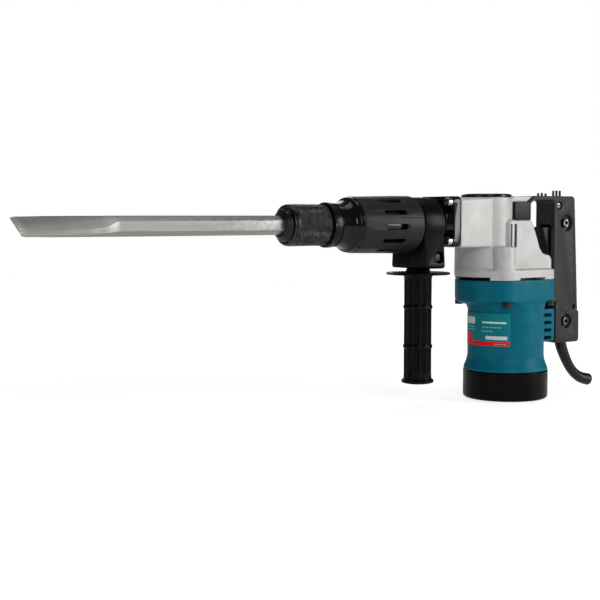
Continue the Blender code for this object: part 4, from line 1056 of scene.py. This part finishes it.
def build_handle_half(name, node, side):
    """Moulded half with a rolled edge, a proud foot block, bolt recesses and grip ribs."""
    split, face = side * 0.15, side * GRIP_FACE
    rims = (side < 0, side > 0)
    body = slab(name, handle_outline(), "XZ", split, face, 1.2, 4, rims)
    rear, bottom = HANDLE_HIGH.x, HANDLE_LOW.z
    foot = slab("foot", fillet([(BLOCK_FRONT, bottom, 3), (rear, bottom, 4), (rear - 0.4, 96, 3.5),
                                (91, 97, 5), (67, 108, 3), (BLOCK_FRONT, 108, 1.5)]), "XZ", side * 3,
                side * BLOCK_FACE, 1.2, 3, rims)
    join(body, foot)
    join(body, *[rod("rib", "Z", (60.9, side * (7.2 + 4.6 * k)), 1.5, AXIS - 40, AXIS - 8 + 2 * k, 24, 0.7)
                 for k in range(2)])
    cutters = [
        slab("pocket", [(65, AXIS + 22), (65, 66), (97, 66), (97, 92), (90, AXIS + 22)],
             "XZ", -side, side * POCKET_FACE, 0),
        block("trigger_slot", (50, 67), sorted((-side, side * 9.6)), (AXIS - 38, AXIS - 1)),
        rod("cord_hole", "Z", (CORD_X, 0), 7.2, 50, 70, 48),
        rod("pivot_hole", "Y", (TRIGGER_PIVOT.x, TRIGGER_PIVOT.z), 1.8, -14, 14, 24)]
    for bolt in (UPPER_BOLT, LOWER_BOLT):
        cutters.append(rod("bolt_hole", "Y", (bolt.x, bolt.z), 2.6, -20, 20, 24))
    if side < 0:
        cutters.append(rod("recess", "Y", (UPPER_BOLT.x, UPPER_BOLT.z), 10, -20, BOLT_RECESS - GRIP_FACE, 64))
        cutters.append(rod("recess", "Y", (LOWER_BOLT.x, LOWER_BOLT.z), 8.5, -20, BOLT_RECESS - BLOCK_FACE,
                           64))
    cutters.append(rod("small_hole", "Y", SMALL_HOLE, 2.9, *sorted((side * 10.5, side * 20)), 32))
    cutters.append(rod("small_recess", "Y", SMALL_SCREW, 4.8, *sorted((side * 12.2, side * 20)), 40))
    cut(body, *cutters)
    place(ease_edges(body, 0.35, 2, 50), "tool", "handle_plastic", HANDLE, node)


def build_handle_details():
    """Small screw in its recess, the top fins and a thin dark plate on each side of the front arm as painted
    shade.
    """
    socket_screw("handle_small_screw", "Y", SMALL_SCREW, -12, SMALL_HEAD, (1.2, 2), OXIDE, sides=24)
    top = HANDLE_HIGH.z
    fins = [block("handle_top_fins", (x - 0.9, x + 0.9), (-6, -3.6), (top - 1, top + height), 0.4)
            for x, height in FINS]
    place(smooth(join(*fins)), "tool", "handle_plastic", HANDLE)
    outline = rectangle(ARM_X, ARM_Z, 1.4)
    # Painted shade: dark plates over the sides of the front arm.
    for side in (-1, 1):
        pad = slab("handle_arm_shade_plate", outline, "XZ", side * (GRIP_FACE + 0.05), side * (GRIP_FACE + 0.75),
                   0.3)
        place(pad, "tool", "black_plastic", BLACK)


def build_handle_bolts():
    """Two dark bolts in the recesses of the left half."""
    for name, outside in (("handle_bolt_upper", GRIP_FACE), ("handle_bolt_lower", BLOCK_FACE)):
        at, seat = middle(name), BOLT_RECESS - outside - SUNK
        length = limits(name)[1].y - seat
        socket_screw(name + "_cap", "Y", (at.x, at.z), seat, HANDLE_HEAD, (2.3, length), OXIDE, name)


def build_trigger():
    """Long trigger, wide at its pivot and curved where the fingers pull."""
    px, pz = TRIGGER_PIVOT.x, TRIGGER_PIVOT.z
    outline = fillet([(px - 21.3, pz + 2.2, 1.6), (px - 20.4, pz - 2.5, 5), (px - 11.5, pz - 27.5, 6),
                      (px - 9.6, pz - 30.4, 2), (px - 6.2, pz - 30, 1), (px - 3, pz - 6, 0),
                      (px + 3, pz - 3, 2), (px + 3, pz + 3, 2), (px - 8, pz + 3, 4)])
    trigger = slab("trigger_moulded", outline, "XZ", -9, 9, 1.6, 4)
    cut(trigger, rod("pivot", "Y", (px, pz), 1.7, -12, 12, 24))
    place(smooth(trigger), "trigger", "black_plastic", BLACK, "trigger")


GUARD_ROUTE = [(CORD_X, 73), (CORD_X, 62), (89, 56), (93, 47), (98.6, 36.5), (105.2, 26.6), (114, 17.8),
               (125, 11.8), (137, 9.6)]
GUARD_RADII = [6.6, 6.6, 6.6, 6.3, 6, 5.8, 5.8, 6.1, 7.1]
GUARD_MOUTH = [(6.9, 0.35), (6.2, 0.5), (5.2, 0.1), (4.6, -1), (4.4, -14)]  # radius, way past the end
GUARD_SIDES = 40


def guard_line():
    """Points along a smooth curve drawn by the guard's route."""
    curve = bpy.data.curves.new("guard", "CURVE")
    curve.dimensions = "3D"
    spline = curve.splines.new("NURBS")
    spline.points.add(len(GUARD_ROUTE) - 1)
    for point, (x, z) in zip(spline.points, GUARD_ROUTE):
        point.co = (x, 0, z, 1)
    spline.use_endpoint_u = True
    spline.order_u = 4
    spline.resolution_u = 10
    draft = bpy.data.objects.new("guard_path", curve)
    bpy.context.scene.collection.objects.link(draft)
    bpy.context.view_layer.update()
    line = [v.co.copy() for v in draft.to_mesh().vertices]
    draft.to_mesh_clear()
    bpy.data.objects.remove(draft, do_unlink=True)
    return line


def build_cord_guard():
    """Tapered rubber guard that bends away below the handle and opens in a bell mouth."""
    line = guard_line()
    bm = bmesh.new()
    rings = []
    last = len(line) - 1

    def ring_at(i, radius, along=0):
        ahead = (line[min(last, i + 1)] - line[max(0, i - 1)]).normalized()
        side = Vector((0, 1, 0))
        up = ahead.cross(side)
        centre = line[i] + ahead * along
        return [bm.verts.new(centre + (side * cos(a) + up * sin(a)) * radius)
                for a in (2 * pi * k / GUARD_SIDES for k in range(GUARD_SIDES))]

    for i in range(last + 1):
        share = i / last * (len(GUARD_RADII) - 1)
        k = min(len(GUARD_RADII) - 2, int(share))
        radius = GUARD_RADII[k] + (GUARD_RADII[k + 1] - GUARD_RADII[k]) * (share - k)
        rings.append(ring_at(i, radius))
    rings += [ring_at(last, radius, along) for radius, along in GUARD_MOUTH]
    bridge(bm, rings)
    guard = finish_mesh("cord_guard_moulded", bm, 50)
    collar = rod("collar", "Z", (CORD_X, 0), 8.5, 71, 75, 48, 0.5)
    join(guard, collar)
    place(smooth(guard, 40), "tool", "rubber", RUBBER, "cord_guard")


# ---- inner parts keep their CAD shape
INNER = {
    "impact_damper": RUBBER, "striker_seal": RUBBER, "piston_seal": RUBBER, "bearing_plate": CASTING,
    "commutator": COPPER, "carbon_brush_1": CARBON, "carbon_brush_2": CARBON, "cooling_fan": BLACK,
    "brush_holder_1": BLACK, "brush_holder_2": BLACK, "switch_body": BLACK,
}


def finish_inner_parts():
    """Every CAD part that nothing stands for is steel, unless INNER says otherwise."""
    for name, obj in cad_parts.items():
        if name in REPLACED:
            continue
        if not obj.material_slots:
            obj.data.materials.append(STEEL)
        for slot in obj.material_slots:
            slot.material = INNER.get(name, STEEL)


build_chisel()
build_lock_sleeve()
build_tool_holder()
build_barrel()
build_barrel_screws()
build_cover()
build_clamp()
build_grip()
build_casting()
build_slit_shade_blocks()
build_crank_cap()
build_motor_housing()
build_motor_screws()
build_base_cap()
build_nameplate()
build_handle_half("handle_left_moulded", "handle_left", -1)
build_handle_half("handle_right_moulded", "handle_right", 1)
build_handle_details()
build_handle_bolts()
build_trigger()
build_cord_guard()
finish_inner_parts()


# ---- floor, light and camera
WHITE = (1, 1, 1, 1)
FLOOR_X = -280
FLOOR_R = 2200
FLOOR_GLOW = (0.77, 0.99)  # as seen, near the middle and far from it
FLOOR_FADE = (0.35, 1.5)  # metres from the middle
FLOOR_LIGHT = 0.35  # glow that lights the object
AMBIENT = 0.09
LIGHT_TARGET = (-150, 0, 160)
SOFTBOXES = {  # place, size in metres, power in watts
    "key_softbox": ((-900, -1700, 720), (0.6, 0.6), 9),
    "side_softbox": ((1120, -1300, 600), (0.7, 1), 18),
    "top_softbox": ((-100, 200, 1700), (1.4, 0.7), 5),
    "front_softbox": ((-1900, -300, 500), (0.8, 0.8), 3.5),
    "rear_softbox": ((700, 1600, 900), (0.9, 0.9), 4),
}
CAMERA_PLACE = (-0.98490, -1.01763, 0.2075)
CAMERA_DOWN = 3.96  # degrees below the horizon
CAMERA_TURN = 34.5  # degrees from a plain side view
CAMERA_LENS = 73.5


def build_floor():
    """Round pale floor that is seen brighter with distance, so that it runs into the white behind it."""
    floor = rod("studio_floor", "Z", (FLOOR_X, 0), FLOOR_R, -20, -0.5, 96)
    made = Surface("pale_paper", grey(0.55), specular=0.1)
    made.mottle(0.99, 1.01, 3).relief((400, 0.05, 0.1)).set("Roughness", 0.9)
    made.set("Emission Color", WHITE)
    far = made.add("ShaderNodeVectorMath")
    far.operation = "DISTANCE"
    far.inputs[1].default_value = (FLOOR_X * MM, 0, 0)
    made.link(made.add("ShaderNodeNewGeometry").outputs["Position"], far.inputs[0])
    glow = made.ranged(far.outputs["Value"], *FLOOR_GLOW, *FLOOR_FADE)
    seen = made.add("ShaderNodeMapRange", To_Min=FLOOR_LIGHT)
    made.link(made.add("ShaderNodeLightPath").outputs["Is Camera Ray"], seen.inputs["Value"])
    made.link(glow, seen.inputs["To Max"])
    made.link(seen.outputs["Result"], made.shader.inputs["Emission Strength"])
    floor.data.materials.append(made.material)


def area_light(name, place, size, power):
    """Soft box that faces the object."""
    data = bpy.data.lights.new(name, "AREA")
    data.energy = power
    data.shape = "RECTANGLE"
    data.size, data.size_y = size
    lamp = bpy.data.objects.new(name, data)
    bpy.context.scene.collection.objects.link(lamp)
    lamp.location = Vector(place) * MM
    lamp.rotation_euler = (Vector(LIGHT_TARGET) - Vector(place)).to_track_quat("-Z", "Y").to_euler()


def build_light():
    """Soft boxes round the object; the world is white to look at and dim as a light."""
    world = bpy.data.worlds.new("studio")
    bpy.context.scene.world = world
    world.use_nodes = True
    nodes, links = world.node_tree.nodes, world.node_tree.links
    backdrop = nodes.new("ShaderNodeBackground")
    backdrop.inputs["Color"].default_value = WHITE
    ambient = nodes["Background"]
    ambient.inputs["Color"].default_value = WHITE
    ambient.inputs["Strength"].default_value = AMBIENT
    mix = nodes.new("ShaderNodeMixShader")
    links.new(nodes.new("ShaderNodeLightPath").outputs["Is Camera Ray"], mix.inputs[0])
    links.new(ambient.outputs[0], mix.inputs[1])
    links.new(backdrop.outputs[0], mix.inputs[2])
    links.new(mix.outputs[0], nodes["World Output"].inputs["Surface"])
    for name, values in SOFTBOXES.items():
        area_light(name, *values)


def build_camera():
    """Camera of the photo, found by fitting the chisel, the barrel and the handle."""
    data = bpy.data.cameras.new("camera")
    data.lens = CAMERA_LENS
    data.sensor_width = 36
    data.clip_end = 50
    camera = bpy.data.objects.new("camera", data)
    bpy.context.scene.collection.objects.link(camera)
    camera.location = CAMERA_PLACE
    camera.rotation_euler = (radians(90 - CAMERA_DOWN), 0, radians(-CAMERA_TURN))
    bpy.context.scene.camera = camera
    bpy.context.scene.view_settings.view_transform = "Standard"


build_floor()
build_light()
build_camera()
